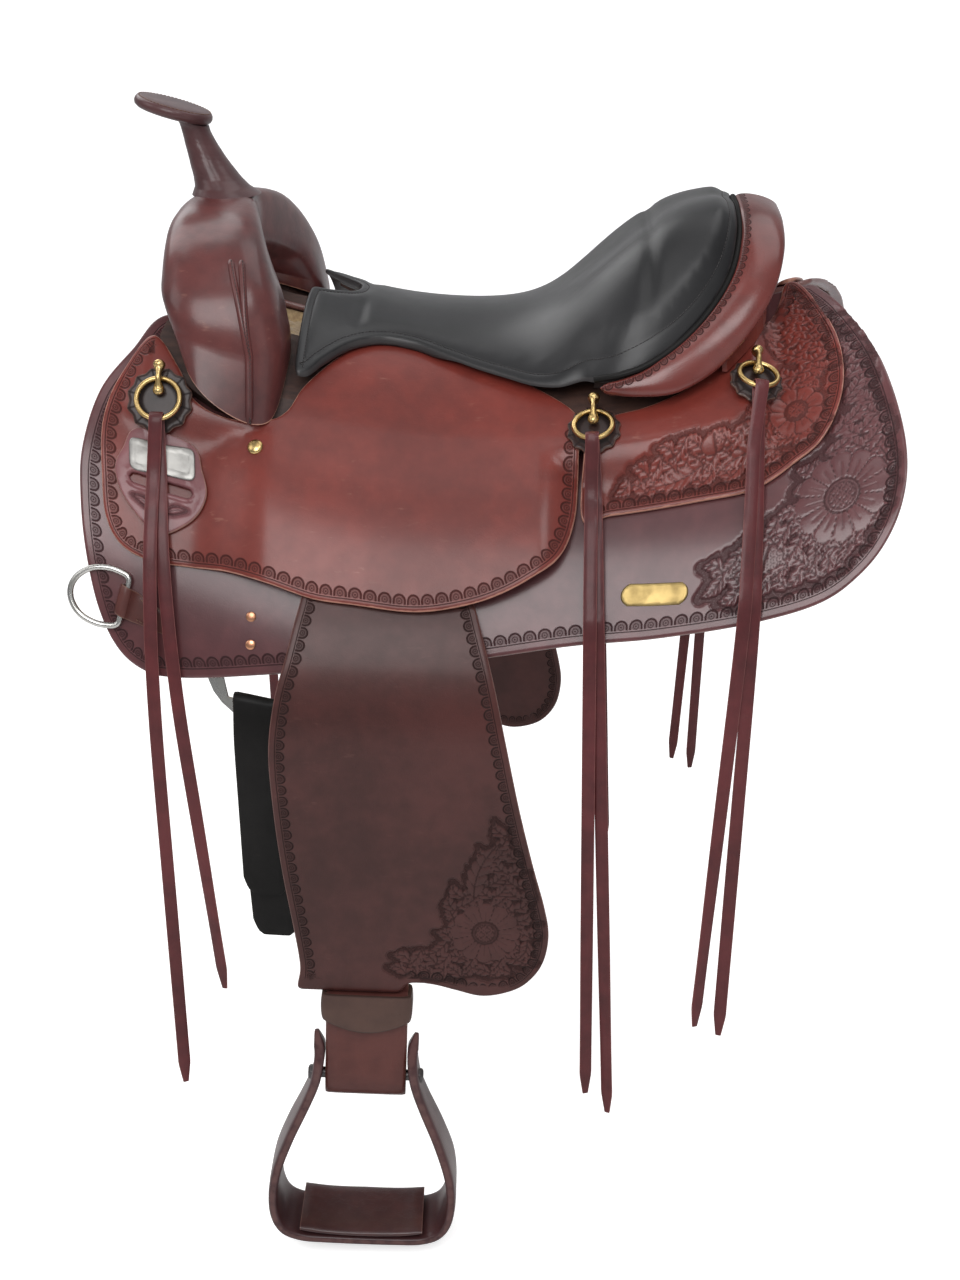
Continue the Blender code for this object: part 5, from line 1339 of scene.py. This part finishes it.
def fork_cover_piece():
    count = 88
    rows = 66
    total = 2 * rows + 1
    walls = []
    edge = []
    for grow in (FORK_LINE + FORK_COVER, FORK_LINE):
        half = [[cover_point(k / rows, a, grow) for a in turns(count, 0.5)] for k in range(rows, -1, -1)]
        walls.append(half + [flipped(r) for r in half[-2::-1]])
    for part in (range(total), range(total - 1, -1, -1)):
        edge += [(walls[0][k][i] - walls[0][0 if k <= rows else -1][i]).length for k in part
                 for i in range(count)]
    made = Build().ring_run(walls[0] + walls[1][::-1], True, edge=edge)
    make_piece("fork_cover_leather", made, FORK_LEATHER, "saddle", ("fork_cover",))
    welts = Build()
    stitches = Build()
    for angle, spread in ((60.0, 4.0), (71.0, -6.0)):
        path = []
        ups = []
        for k in range(35, 67):
            v = k / 66.0
            a = math.radians(angle + spread * ease((v - 0.45) / 0.40))
            p = cover_point(v, a, FORK_LINE + FORK_COVER)
            ups.append((cover_point(v, a, FORK_LINE + FORK_COVER + 0.004) - p).normalized())
            path.append(p - ups[-1] * 0.0003)
        welts.wire(path, [0.0014] + [0.0030] * (len(path) - 2) + [0.0014], 10)
        stitch_row(stitches, [p + u * 0.0030 for p, u in zip(path, ups)], ups, 0.0030, 0.0021)
    both_sides("fork_welts", welts.edged(), FORK_LEATHER)
    both_sides("fork_stitching", stitches, DARK_THREAD)


fork_cover_piece()


def horn_pieces():
    tilt = math.radians(16.0)
    run = Vector((math.cos(tilt), 0.0, -math.sin(tilt)))
    up = Vector((math.sin(tilt), 0.0, math.cos(tilt)))
    side = Vector((0.0, 1.0, 0.0))
    centre = Vector((-0.2640, 0.0, 0.2585))

    def around(middle, long, wide, count):
        return [middle + run * (0.0345 * long * math.cos(a)) + side * (0.0321 * wide * math.sin(a))
                for a in turns(count)]

    section = ((0.30, -0.0058), (0.72, -0.0056), (0.90, -0.0048), (0.975, -0.0030), (1.0, -0.0004),
               (0.99, 0.0020), (0.955, 0.0040), (0.88, 0.0050), (0.70, 0.0055), (0.45, 0.0057),
               (0.15, 0.0058))
    cap = Build().ring_run([around(centre + up * rise, reach, reach, 56) for reach, rise in section])
    make_piece("horn_cap_leather", cap, HORN_LEATHER, "saddle", ("horn_cap",), 60.0)
    spots = around(centre + up * 0.0046, 0.91, 0.91, 72)
    ups = [(up * 0.8 + (run * math.cos(a) + side * math.sin(a)) * 0.5).normalized() for a in turns(72)]
    made = stitch_row(Build(), spots + spots[:1], ups + ups[:1])
    make_piece("horn_cap_stitching", made, BROWN_THREAD, "saddle")
    neck_top = centre - up * 0.0055 + run * 0.0185
    neck_foot = Vector((FORK_X - 0.016, 0.0, FORK_TOP + FORK_COVER + FORK_LINE - 0.0020))
    stops = (0.0, 0.10, 0.22, 0.50, 0.78, 0.92, 1.0)
    rings = []
    for k in range(61):
        u = k / 60.0
        lap = 0.00016 * math.sin(math.pi * (u * 7.0 % 1.0)) ** 0.5
        long = lap + np.interp(u, stops, (0.0300, 0.0240, 0.0210, 0.0170, 0.0140, 0.0132, 0.0140))
        wide = lap + np.interp(u, stops, (0.0370, 0.0295, 0.0250, 0.0190, 0.0160, 0.0158, 0.0175))
        way = Vector((1.0, 0.0, 0.0)).lerp(run, u).normalized()
        spot = neck_foot.lerp(neck_top, u) - run * (0.006 * math.sin(math.pi * u) * 0.3)
        rings.append([spot + way * (long * math.cos(a)) + side * (wide * math.sin(a)) for a in turns(40)])
    make_piece("horn_wrapping", Build().ring_run(rings), HORN_LEATHER, "saddle", ("horn_wrap",), 60.0)


horn_pieces()

# Fenders: a along the horse, b down the leather, c outward
HANG_A = back(-0.080, 0.130, 0.0292)
HANG_B = back(-0.080, 0.245, 0.0292)
DOWN = (HANG_B - HANG_A).normalized()
OUTWARD = Vector((0.0, DOWN.z, -DOWN.y))
if OUTWARD.y > 0.0:
    OUTWARD = -OUTWARD
HANG_TILT = math.radians(3.9)
FORE = Vector((1.0, 0.0, 0.0)) * math.cos(HANG_TILT) - OUTWARD * math.sin(HANG_TILT)
OUTWARD = (OUTWARD * math.cos(HANG_TILT) + Vector((1.0, 0.0, 0.0)) * math.sin(HANG_TILT)).normalized()
PIVOT = HANG_A - DOWN * 0.005
LIFT_AT = (HANG_B - PIVOT).dot(DOWN) + 0.018
FENDER_LONG = 0.336
BEHIND = -FENDER / 2.0 - 0.0009
LEATHER_HALF = 0.0355


def hang_profile():
    """Places and outward directions down the hanging leather, every half millimetre from the lift seam."""
    total = math.atan2(-DOWN.y, -DOWN.z) + math.radians(1.5)
    p = PIVOT + DOWN * LIFT_AT
    rows = []
    ds = 0.0005
    for k in range(1300):
        angle = total * clamp01((k * ds) / 0.110)
        rows.append((p.copy(), OUTWARD * math.cos(angle) + DOWN * math.sin(angle)))
        angle = total * clamp01(((k + 0.5) * ds) / 0.110)
        p = p + (DOWN * math.cos(angle) - OUTWARD * math.sin(angle)) * ds
    return rows


HANGING = hang_profile()


def leg(a, length, c):
    """Place on the hanging leather, also above the lift seam where length is below nothing."""
    if length < 0.0:
        return PIVOT + FORE * a + DOWN * (LIFT_AT + length) + OUTWARD * c
    k = min(length / 0.0005, len(HANGING) - 2)
    i = int(k)
    p = HANGING[i][0].lerp(HANGING[i + 1][0], k - i)
    normal = HANGING[i][1].lerp(HANGING[i + 1][1], k - i)
    return p + FORE * a + normal * c


def fender_outline():
    L = FENDER_LONG
    top = LIFT_AT
    front = [
        (-0.040, -top - 0.006), (-0.041, 0.040 - top), (-0.044, -0.050), (-0.048, -0.020), (-0.052, 0.0),
        (-0.058, 0.030), (-0.066, 0.065), (-0.070, 0.110), (-0.066, 0.165), (-0.059, 0.220), (-0.050, 0.272),
        (-0.044, 0.312), (-0.046, L - 0.003), (-0.041, L),
    ]
    rear = [(0.037, L), (0.043, L - 0.002), (0.050, L - 0.010), (0.069, L - 0.010), (0.090, L - 0.005),
            (0.112, L), (0.133, L - 0.004), (0.150, L - 0.014), (0.163, L - 0.034), (0.167, L - 0.062),
            (0.162, L - 0.090), (0.150, 0.205), (0.136, 0.152), (0.123, 0.096), (0.111, 0.046), (0.098, 0.0),
            (0.092, -0.020), (0.078, -0.050), (0.052, 0.040 - top), (0.040, -top - 0.006)]
    return spline(front, 8, False) + spline(rear, 8, False)


FENDER_REGION = ((0.020, 0.318), (0.036, 0.300), (0.064, 0.288), (0.078, 0.262), (0.082, 0.232),
                 (0.100, 0.212), (0.110, 0.182), (0.122, 0.164), (0.132, 0.178), (0.145, 0.210),
                 (0.155, 0.246), (0.158, 0.274), (0.150, 0.300), (0.134, 0.316), (0.104, 0.322),
                 (0.060, 0.320))
FENDER_STREAM = ((0.112, 0.290), (0.085, 0.306), (0.055, 0.308), (0.024, 0.316))
FENDER_STREAM_UP = ((0.118, 0.262), (0.126, 0.235), (0.126, 0.205), (0.122, 0.170))
FENDER_FORMS = [bloom((0.113, 0.272), 0.0300, 12), leaf((0.102, 0.238), (0.122, 0.184), -0.006, 0.0095, 6)]
FENDER_FORMS += foliage([p for p in FENDER_REGION if p[1] > 0.255], FENDER_STREAM, 0.0120, 0.024, 0.0066)
FENDER_FORMS += foliage([p for p in FENDER_REGION if p[1] < 0.280], FENDER_STREAM_UP, 0.0120, 0.024, 0.0066)


def fender_pieces():
    cut = sheet(fender_outline(), 0.0065, 0.018, ((0.015, 0.160, 0.160, 0.330, 0.0012),), pitch_mm=10.5)
    lay_out(cut, lambda a, b, t: leg(a, b, FENDER * (t - 0.5)), FENDER_FORMS, 0.0050, FENDER,
            lambda a, b: -0.02 < b < 0.325 and (b < 0.30 or a > 0.05 or a < -0.02))
    ends = [leg(0.0, length, 0.0) for length in (-0.010, 0.010)]
    for side in ("near", "off"):
        piece = make_piece("fender_panel_" + side, cut, FENDER_LEATHER, None, off=side == "off")
        bodies = ("fender_top_" + side, "fender_" + side)
        [tuple(p) for p in (flipped(ends) if side == "off" else ends)]
        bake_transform(piece)
        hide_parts(*bodies)


fender_pieces()


def bolt_place():
    length = FENDER_LONG + 0.090
    bolt = leg(0.0, length, -0.004)
    shift = -0.082 - bolt.x
    return length, shift, bolt + FORE * shift


BOLT_LEN, SHIFT, BOLT = bolt_place()


def stirrup_leather_pieces():
    """Doubled strap behind the fender that takes the stirrup's bolt in its fold."""
    L = FENDER_LONG
    half = FENDER / 2.0
    rear = BEHIND - STRAP
    stations = [(s, BEHIND, rear) for s in
                (0.012, 0.040, 0.070, 0.100, 0.130, 0.165, 0.200, 0.250, 0.300, L - 0.002, L + 0.002)]
    stations += [(L + 0.004, half, rear), (L + 0.016, half + 0.001, rear)]
    stations += [(BOLT_LEN + s, a, b) for s, a, b in (
        (-0.020, 0.004, -0.012), (-0.010, 0.0078, -0.0158), (0.0, 0.0085, -0.0165), (0.008, 0.0076, -0.0156),
        (0.014, 0.0050, -0.0130), (0.019, 0.000, -0.008))]
    rows = [[(leg(SHIFT + a, s, (front + back_face) / 2.0 + b), LEATHER_HALF - abs(a))
             for a, b in superellipse(LEATHER_HALF, (front - back_face) / 2.0, 28, 8.0)]
            for s, front, back_face in stations]
    both_sides("stirrup_strap", skin(rows), TRIM_LEATHER, "fender", "stirrup_leather", 55.0)


stirrup_leather_pieces()


def hobble_pieces():
    """Broad strap round the leathers, its lower edge bowed."""
    middle = (BEHIND - STRAP + FENDER / 2.0) / 2.0 - 0.0006
    outer = []
    inner = []
    for k in range(13):
        t = k / 12.0
        puff = 0.0012 * math.sin(math.pi * t) ** 0.6
        for grow, rows in ((0.0030 + puff, outer), (0.0006, inner)):
            row = []
            for a, b in superellipse(LEATHER_HALF + grow, 0.0088 + grow, 64, 8.0):
                bow = 0.013 * math.cos(clamp01(abs(a) / 0.040) * math.pi / 2.0)
                spot = leg(SHIFT + a, FENDER_LONG + 0.0005 + (0.0245 + bow) * t, middle + b)
                row.append((spot, min(t, 1.0 - t) * 0.027))
            rows.append(row)
    both_sides("hobble_band", skin(outer + inner[::-1], True), BAND_LEATHER, "fender", "hobble_strap")


hobble_pieces()

PLUMB = (Vector((0.0, 0.0, 1.0)) - FORE * FORE.z).normalized()
DEPTH = FORE.cross(PLUMB).normalized()


def by_bolt(a, up, deep):
    """Place in the stirrup's plane, from its bolt."""
    return BOLT + FORE * a + PLUMB * up + DEPTH * deep


def bell_piece(half_in, drop):
    """Bell stirrup bent in one piece and covered in leather, its lips a little raised."""
    wall = STIRRUP_WALL
    reach = 0.083 - wall / 2.0
    side = [(half_in + 0.003, 0.044, 0.003), (half_in, 0.026, 0.017), (half_in + 0.001, 0.010, 0.027),
            (half_in + 0.004, -0.006, 0.031), (half_in + 0.012, -0.028, 0.035),
            (half_in + 0.026, -0.062, 0.043), (reach - 0.001, -0.096, 0.053),
            (reach + 0.001, -drop + 0.038, 0.060), (reach - 0.006, -drop + 0.016, 0.062),
            (reach - 0.022, -drop + wall / 2.0 + 0.002, 0.062), (0.030, -drop + wall / 2.0, 0.062)]
    path = spline(side + [(-a, up, deep) for a, up, deep in side[::-1]], 8, False)
    rows = []
    for i, p in enumerate(path):
        run = heading([Vector((q.x, q.y)) for q in path[max(i - 1, 0):i + 2]], min(i, 1))
        across = (FORE * run.x + PLUMB * run.y).cross(DEPTH).normalized()
        slim = 0.35 + 0.65 * min(1.0, min(i, len(path) - 1 - i) / 6.0)
        rows.append([(by_bolt(p.x, p.y, h) + across * (s * (1.0 + 0.10 * groove(p.z / 2.0 - abs(h), 0.0035))),
                      p.z / 2.0 - abs(h) + 0.0006)
                     for s, h in superellipse(wall / 2.0 * slim, p.z / 2.0, 32, 4.5)])
    both_sides("stirrup_bell", skin(rows), BELL_LEATHER, "stirrup", "stirrup_frame")


def tread_piece(floor):
    """Wrapped pad on the stirrup's floor, pulled in at its ends."""
    rows = []
    for k in range(33):
        a = -0.0550 + 0.110 * k / 32.0
        share = abs(a) / 0.0550
        tall = 0.0046 * (1.0 - 0.30 * groove(0.0550 - abs(a), 0.004)) + 0.0002 * math.sin(a * 85.0 + 0.6)
        rows.append([(by_bolt(a, floor + 0.0046 + 0.0036 * share ** 3 + h, d), 0.0550 - abs(a))
                     for d, h in superellipse(0.0328 - 0.0010 * share, tall, 36, 2.6)])
    both_sides("tread_wrap", skin(rows), TREAD_LEATHER, "stirrup", "stirrup_tread", 60.0)


def bolt_piece(reach):
    """The stirrup's bolt with a nut at each end."""
    bolt = Build().wire([by_bolt(-reach, 0.0, 0.0), by_bolt(reach, 0.0, 0.0)], 0.0048, 20)
    six = [(0.93 + 0.07 * math.cos(6.0 * a), a) for a in turns(24)]
    nut = ((0.0062, 0.0), (0.0070, 0.0006), (0.0070, 0.0038), (0.0060, 0.0050), (0.0042, 0.0056))
    for end in (-1.0, 1.0):
        bolt.ring_run([[by_bolt(end * (reach + h), r * wave * math.cos(a), r * wave * math.sin(a))
                        for wave, a in six] for r, h in nut])
    both_sides("stirrup_bolt", bolt, DARK_STEEL, "stirrup")


bell_piece(LEATHER_HALF + 0.0008 + STIRRUP_WALL / 2.0, STIRRUP_DROP)
tread_piece(STIRRUP_WALL - STIRRUP_DROP)
bolt_piece(LEATHER_HALF + 0.0008 + STIRRUP_WALL)


# Rosettes, rings and clips
def rosette(frame_at, radius, lobes=12):
    """Scalloped disc with a cut between its lobes and a line round its middle."""
    section = ((0.02, 0.0), (0.50, 0.0), (0.90, 0.0), (1.0, 0.0008), (1.0, 0.0020), (0.955, 0.0028),
               (0.88, 0.0030), (0.78, 0.0029), (0.66, 0.0026), (0.54, 0.0030), (0.40, 0.0031), (0.2, 0.0031),
               (0.02, 0.0031))
    rings = []
    cuts = []
    for share, high in section:
        ring = []
        for a in turns(96):
            reach = radius * share * (1.0 - 0.0375 * (1.0 + math.cos(lobes * a)) * ease((share - 0.5) / 0.4))
            ring.append(frame_at @ Vector((reach * math.cos(a), reach * math.sin(a), high)))
            between = groove(math.cos(lobes * a / 2.0), 0.16) if share > 0.55 else 0.0
            cuts.append(max(between, 0.8 if abs(share - 0.60) < 0.07 else 0.0))
        rings.append(ring)
    return Build().ring_run(rings, cut=cuts, edge=[radius * (1.0 - share) for share, _ in section
                                                   for _ in range(96)])


ROSETTE_LEATHER = leather("rosette_leather", (0.034, 0.015, 0.013), (0.016, 0.008, 0.007),
                          (0.10, 0.050, 0.036), 0.44, 0.25, carved=True)


def site_pieces():
    for name, x, fall, rosette_r, ring_r in SITES:
        frame_at = site_frame(x, fall, jockey_top, 0.0014)
        both_sides("rosette_leather_" + name, rosette(frame_at, rosette_r), ROSETTE_LEATHER, "saddle",
                   "rosette_" + name)
        ring = Build().wire(ring_circle(frame_at, ring_r, 72), RING_WIRE, 16, True)
        both_sides("brass_ring_" + name, ring, BRASS, "ring_" + name, "ring_" + name, 60.0)
        rise = ROSETTE + 0.0003
        lump = 0.0050
        arch = rise + 2.0 * RING_WIRE + 0.0036
        half = [(0.0115, rise + lump + 0.0002), (0.0080, rise + lump + 0.0008), (0.0042, arch)]
        line = [(0.0135, rise + lump * 0.8)] + half + [(0.0, arch + 0.0008)]
        line += [(-a, b) for a, b in half[::-1]] + [(-0.0135, rise + lump * 0.8)]
        radii = (0.0026, lump, 0.0042, 0.0024, 0.0024, 0.0024, 0.0042, lump * 0.92, 0.0024)
        knots = spline([(ring_r - RING_WIRE + a, b, r) for (a, b), r in zip(line, radii)], 6, False)
        clip = Build().wire([frame_at @ Vector((0.0, p.x, p.y)) for p in knots], [p.z for p in knots], 20)
        both_sides("brass_clip_" + name, clip, BRASS, "saddle", "ring_clip_" + name, 60.0)


site_pieces()


# Latigo keepers and small plates
KEEPER = 0.0036
KEEPER_LEATHER = leather("keeper_leather", (0.215, 0.078, 0.082), (0.130, 0.046, 0.050), (0.28, 0.15, 0.12),
                         0.36, 0.35, carved=True)


def placed(points, angle, x, y):
    """Flat points turned by an angle and moved."""
    c = math.cos(angle)
    s = math.sin(angle)
    return [Vector((x + a * c - b * s, y + a * s + b * c)) for a, b in points]


def keeper_pieces():
    mid = SITES[0][1] + 0.004
    outline = placed(((-0.022, 0.146), (0.022, 0.146), (0.033, 0.166), (0.038, 0.184), (0.030, 0.203),
                      (0.012, 0.219), (0.0, 0.223), (-0.012, 0.219), (-0.030, 0.203), (-0.038, 0.184),
                      (-0.033, 0.166)), 0.0, mid, 0.0)
    hole = placed(((-0.026, 0.186), (-0.024, 0.1825), (-0.020, 0.182), (0.020, 0.182), (0.024, 0.1825),
                   (0.026, 0.186), (0.024, 0.1895), (0.020, 0.190), (-0.020, 0.190), (-0.024, 0.1895)), 0.0,
                  mid, 0.0)
    forms = [bloom((mid, 0.2045), 0.0070, 6, 0.0, 0.34)]
    forms += [leaf((mid + s * 0.007, 0.205), (mid + s * 0.022, 0.200), -s * 0.001, 0.0024, 0)
              for s in (-1.0, 1.0)]
    cut = sheet(spline(outline, 10), 0.004, 0.010, ((mid - 0.030, mid + 0.030, 0.191, 0.216, 0.0010),),
                [hole], (0.0005, 0.0014), 0.0016)
    lip = measure(counter(evenly(hole, 0.0016)), cut.flat)[0][:cut.top]
    cut.share[:cut.top] += 0.0011 / KEEPER * groove(lip - 0.0024, 0.0013)
    lay_out(cut, lambda a, b, t: back(a, b, jockey_top(a, b) + 0.0014 + KEEPER * t), forms, 0.0030, KEEPER)
    both_sides("keeper_leaf", cut, KEEPER_LEATHER, "saddle", "latigo_keeper")


keeper_pieces()


def small_plate(name, outline, cell, near, finish, under, thick, beads):
    """Thin blank metal plate with raised lines inside its rim."""
    cut = sheet(outline, cell, 0.006, rims=(0.0005, 0.0010), near=near)
    high = thick * cut.share
    for tall, inset, wide in beads:
        high[:cut.top] += tall * groove(cut.marks["edge"][:cut.top] - inset, wide)
    cut.points = [back(a, b, under(a, b) + h) for (a, b), h in zip(cut.flat.tolist(), high.tolist())]
    both_sides(name, cut, finish, smooth=60.0)


def keeper_plates():
    scroll = ((-0.0270, 0.0), (-0.0262, -0.0100), (-0.0200, -0.0128), (0.0, -0.0120), (0.0200, -0.0128),
              (0.0262, -0.0100), (0.0270, 0.0), (0.0262, 0.0100), (0.0200, 0.0128), (0.0, 0.0120),
              (-0.0200, 0.0128), (-0.0262, 0.0100))
    outline = spline(placed(scroll, math.radians(-6.0), SITES[0][1] + 0.004, 0.1655), 8)
    small_plate("keeper_plate", outline, 0.0012, 0.0010, SILVER, lambda a, b: jockey_top(a, b) + 0.0052,
                0.0014, ((0.0007, 0.0016, 0.0006), (0.0005, 0.0038, 0.0005)))


keeper_plates()
# Breast-collar dees and their chapes
DEE_X = -0.276
DEE_FALL = 0.284
DEE_WIRE = 0.0026
DEE_CLEAR = 0.0012
CHAPE = 0.0024
DEE_TURN = Matrix.Rotation(math.radians(-14.0), 4, "Z")


def chape_spot(a, b, lift):
    """Place over the skirt, from the dee's bar."""
    spot = DEE_TURN @ Vector((a, b, 0.0))
    return back(DEE_X + spot.x, DEE_FALL - spot.y, SKIRT_TOP + lift)


def dee_pieces():
    dee_at = site_frame(DEE_X, DEE_FALL, skirt_top, DEE_WIRE + DEE_CLEAR)
    half = [(-0.0022, 0.0208), (-0.006, 0.0222), (-0.018, 0.0235), (-0.032, 0.0200), (-0.042, 0.0110)]
    line = [(0.0, b) for b in (0.018, 0.009, 0.0, -0.009, -0.018)] + [(a, -b) for a, b in half]
    line += [(-0.0455, 0.0)] + half[::-1]
    path = evenly(spline([dee_at @ DEE_TURN @ Vector((a, b, 0.0)) for a, b in line], 8), 0.002)
    both_sides("nickel_dee", Build().wire(path, DEE_WIRE, 16, True), NICKEL, "breast_dee", "breast_dee", 60.0)
    around = DEE_WIRE + DEE_CLEAR / 2.0 + CHAPE / 2.0
    line = [(0.034, -0.0004), (0.020, 0.0010), (around + 0.004, 0.0022)]
    for turn in range(20, 181, 16):
        a = math.radians(turn)
        line.append((around * math.cos(a), DEE_WIRE + DEE_CLEAR + around * math.sin(a)))
    line = spline([Vector((a, 0.0, h)) for a, h in line + [(-around, -0.0008)]], 4, False)
    rows = []
    for i, p in enumerate(line):
        run = heading(line, i)
        half = min(0.0125, 0.0085 + 0.0040 * i / 8.0)
        rows.append([(chape_spot(p.x - run.z * b, a, p.z + run.x * b), half - abs(a))
                     for a, b in superellipse(half, CHAPE / 2.0, 20, 6.0)])
    both_sides("dee_chape", skin(rows), TRIM_LEATHER)
    stitches = Build()
    up = (back(DEE_X, DEE_FALL, 0.01) - back(DEE_X, DEE_FALL, 0.0)).normalized()
    for side in (-0.0085, 0.0085):
        spots = [chape_spot(0.012 + 0.018 * k / 8.0, side, 0.0030 - 0.0018 * k / 8.0) for k in range(9)]
        stitch_row(stitches, spots, [up] * 9, 0.0032, 0.0023)
    both_sides("chape_stitching", stitches, BROWN_THREAD)


dee_pieces()

# Latigo, billet
RIG_X = -0.166
RIG_PLATE = 0.0035
BAR_AT = back(RIG_X, 0.347, FLEECE + LAY * 0.2 - RIG_PLATE / 2.0)
BAR_OUT = (back(RIG_X, 0.347, 0.01) - back(RIG_X, 0.347, 0.0)).normalized()
BAR_UP = (back(RIG_X, 0.343, 0.0) - back(RIG_X, 0.351, 0.0)).normalized()
BAR_RUN = (back(RIG_X + 0.01, 0.347, 0.005) - back(RIG_X - 0.01, 0.347, 0.005)).normalized()


def strap_path(front_end, rear_end):
    """Line of a strap folded over the plate's lower bar, from its front end to its rear end."""
    clear = RIG_PLATE / 2.0 + 0.0037
    tall = 0.0144
    fold = [BAR_AT + BAR_OUT * (clear * out) + BAR_UP * up for out, up in (
        (1.0, -0.016), (1.0, tall - 0.006), (0.7, tall - 0.001), (0.0, tall), (-0.7, tall - 0.001),
        (-1.0, tall - 0.006), (-1.0, -0.016))]
    y = fold[0].y
    z = BAR_AT.z
    first = [(RIG_X + 0.002, y - 0.001, front_end), (RIG_X + 0.001, y - 0.002, (front_end + z) / 2.0),
             (RIG_X, y - 0.001, z - 0.030)]
    last = [(RIG_X, y + 0.0045, z - 0.030), (RIG_X + 0.003, y + 0.0035, (rear_end + z) / 2.0),
            (RIG_X + 0.008, y + 0.0035, rear_end)]
    return evenly(spline(first + fold + last, 8, False), 0.003, False)


def strap_pieces():
    for name, node, ends in (("latigo_leather", "latigo_strap", (-0.362, -0.405)),
                             ("billet_leather", "off_billet", (-0.420, -0.440))):
        path = strap_path(*ends)
        count = len(path) - 1
        wide = [0.0400 * (0.60 + 0.40 * math.sqrt(min(1.0, min(i, count - i) / 5.0)))
                for i in range(count + 1)]
        made = strip(path, BAR_RUN, wide, 0.0030, 20, 6.0)
        make_piece(name, made, BLACK_STRAP, node, (node,), off=node == "off_billet")


strap_pieces()


def stud(name, x, fall, over, radius, high, finish):
    """Round metal head on the leather."""
    section = [(0.0, -0.0004), (radius * 0.9, -0.0004), (radius, 0.0), (radius, high * 0.25)]
    section += [(radius * math.cos(a), high * (0.25 + 0.75 * math.sin(a))) for a in (0.3, 0.6, 0.9, 1.2, 1.4)]
    both_sides(name, Build().turned(site_frame(x, fall, over, 0.0), section + [(0.0, high)]), finish,
               smooth=60.0)


stud("rivet_upper", -0.171, 0.269, skirt_top, 0.0042, 0.0014, COPPER)
stud("rivet_lower", -0.171, 0.291, skirt_top, 0.0042, 0.0014, COPPER)
stud("brass_tack", -0.172, 0.139, jockey_top, 0.0066, 0.0036, BRASS)


def oval_plates():
    oval = [(math.copysign(0.0184, math.cos(a)) + 0.0087 * math.cos(a), 0.0087 * math.sin(a))
            for a in turns(32, 0.5)]
    small_plate("oval_plate", spline(placed(oval, math.radians(7.3), 0.1573, 0.2364), 4), 0.0016, 0.0012,
                PLATE_BRASS, lambda a, b: SKIRT_TOP - 0.0004, 0.0016, ((0.0006, 0.0014, 0.0006),))


oval_plates()

# Finishes of the pieces kept from the CAD model
# The tree and ground seat take the darkened rawhide: painted shade for the gaps where they show.
for node_name, kept_finish in (("saddle_tree", RAW_TREE), ("ground_seat", RAW_TREE),
                               ("cantle_back", PLAIN_JOCKEY), ("rigging_plate_near", NICKEL),
                               ("rigging_plate_off", NICKEL)):
    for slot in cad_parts[node_name].material_slots:
        slot.material = kept_finish


# Floor and light
def floor_piece():
    """Pale floor that runs up into a wall behind the saddle."""
    mat, tree, shader = new_finish("pale_floor", 0.75, specular=0.2)
    shade = mixed(tree, noise(tree, 2.5, 3.0), (0.76, 0.75, 0.74), (0.80, 0.79, 0.78))
    feed(shader.inputs["Base Color"], shade)
    seen = Value(tree.nodes.new("ShaderNodeLightPath").outputs["Is Camera Ray"])
    feed(shader.inputs["Emission Color"], mixed(tree, seen, (0.0, 0.0, 0.0), (0.62, 0.62, 0.62)))
    shader.inputs["Emission Strength"].default_value = 1.0
    bend = [(k - 11) / 15.0 * math.pi / 2.0 for k in range(12, 26)]
    rows = [(-4.0 + 6.2 * k / 11.0, -0.712) for k in range(12)]
    rows += [(2.2 + 1.3 * math.sin(a), -0.712 + 1.3 * (1.0 - math.cos(a))) for a in bend]
    rows += [(3.5, 0.588 + 3.2 * k / 7.0) for k in range(1, 8)]
    mesh = bpy.data.meshes.new("floor")
    mesh.from_pydata([(x, y, z) for y, z in rows for x in (-5.0, 5.0)], [],
                     [(k, k + 1, k + 3, k + 2) for k in range(0, 2 * len(rows) - 2, 2)])
    mesh.shade_smooth()
    mesh.materials.append(mat)
    floor = bpy.data.objects.new("floor", mesh)
    bpy.context.scene.collection.objects.link(floor)


def sky():
    """Even light from all round, dimmer where it is mirrored."""
    world = bpy.data.worlds.new("studio")
    bpy.context.scene.world = world
    world.use_nodes = True
    tree = world.node_tree
    dome = tree.nodes["Background"]
    mirrored = Value(tree.nodes.new("ShaderNodeLightPath").outputs["Is Glossy Ray"])
    feed(dome.inputs["Color"], mixed(tree, mirrored, (0.92, 0.95, 1.0), (0.42, 0.43, 0.45)))
    dome.inputs["Strength"].default_value = 0.55


def lamps():
    for name, place, aim, size, power in (
            ("key", (-0.30, -2.15, 1.45), (0.0, 0.0, 0.0), 1.3, 30.0),
            ("top", (0.8, 0.4, 2.0), (0.1, 0.0, 0.0), 1.5, 11.0),
            ("over", (-0.15, -0.75, 1.95), (-0.1, -0.1, 0.0), 0.6, 2.0),
            ("behind", (-1.0, 0.9, 1.5), (0.1, 0.0, 0.1), 1.5, 16.0),
            ("right", (0.75, -1.40, 1.85), (0.15, -0.1, 0.1), 0.6, 7.0),
            ("left", (-2.0, -0.9, 1.35), (-0.1, -0.1, 0.0), 1.2, 8.0),
            ("fill", (1.9, -1.8, 0.7), (0.0, 0.0, -0.2), 1.6, 4.0)):
        lamp = bpy.data.lights.new(name, "AREA")
        lamp.size = size
        lamp.energy = power
        holder = bpy.data.objects.new(name, lamp)
        holder.location = place
        holder.rotation_euler = (Vector(aim) - Vector(place)).to_track_quat("-Z", "Y").to_euler()
        bpy.context.scene.collection.objects.link(holder)


floor_piece()
sky()
lamps()
bpy.context.scene.view_settings.view_transform = "Standard"
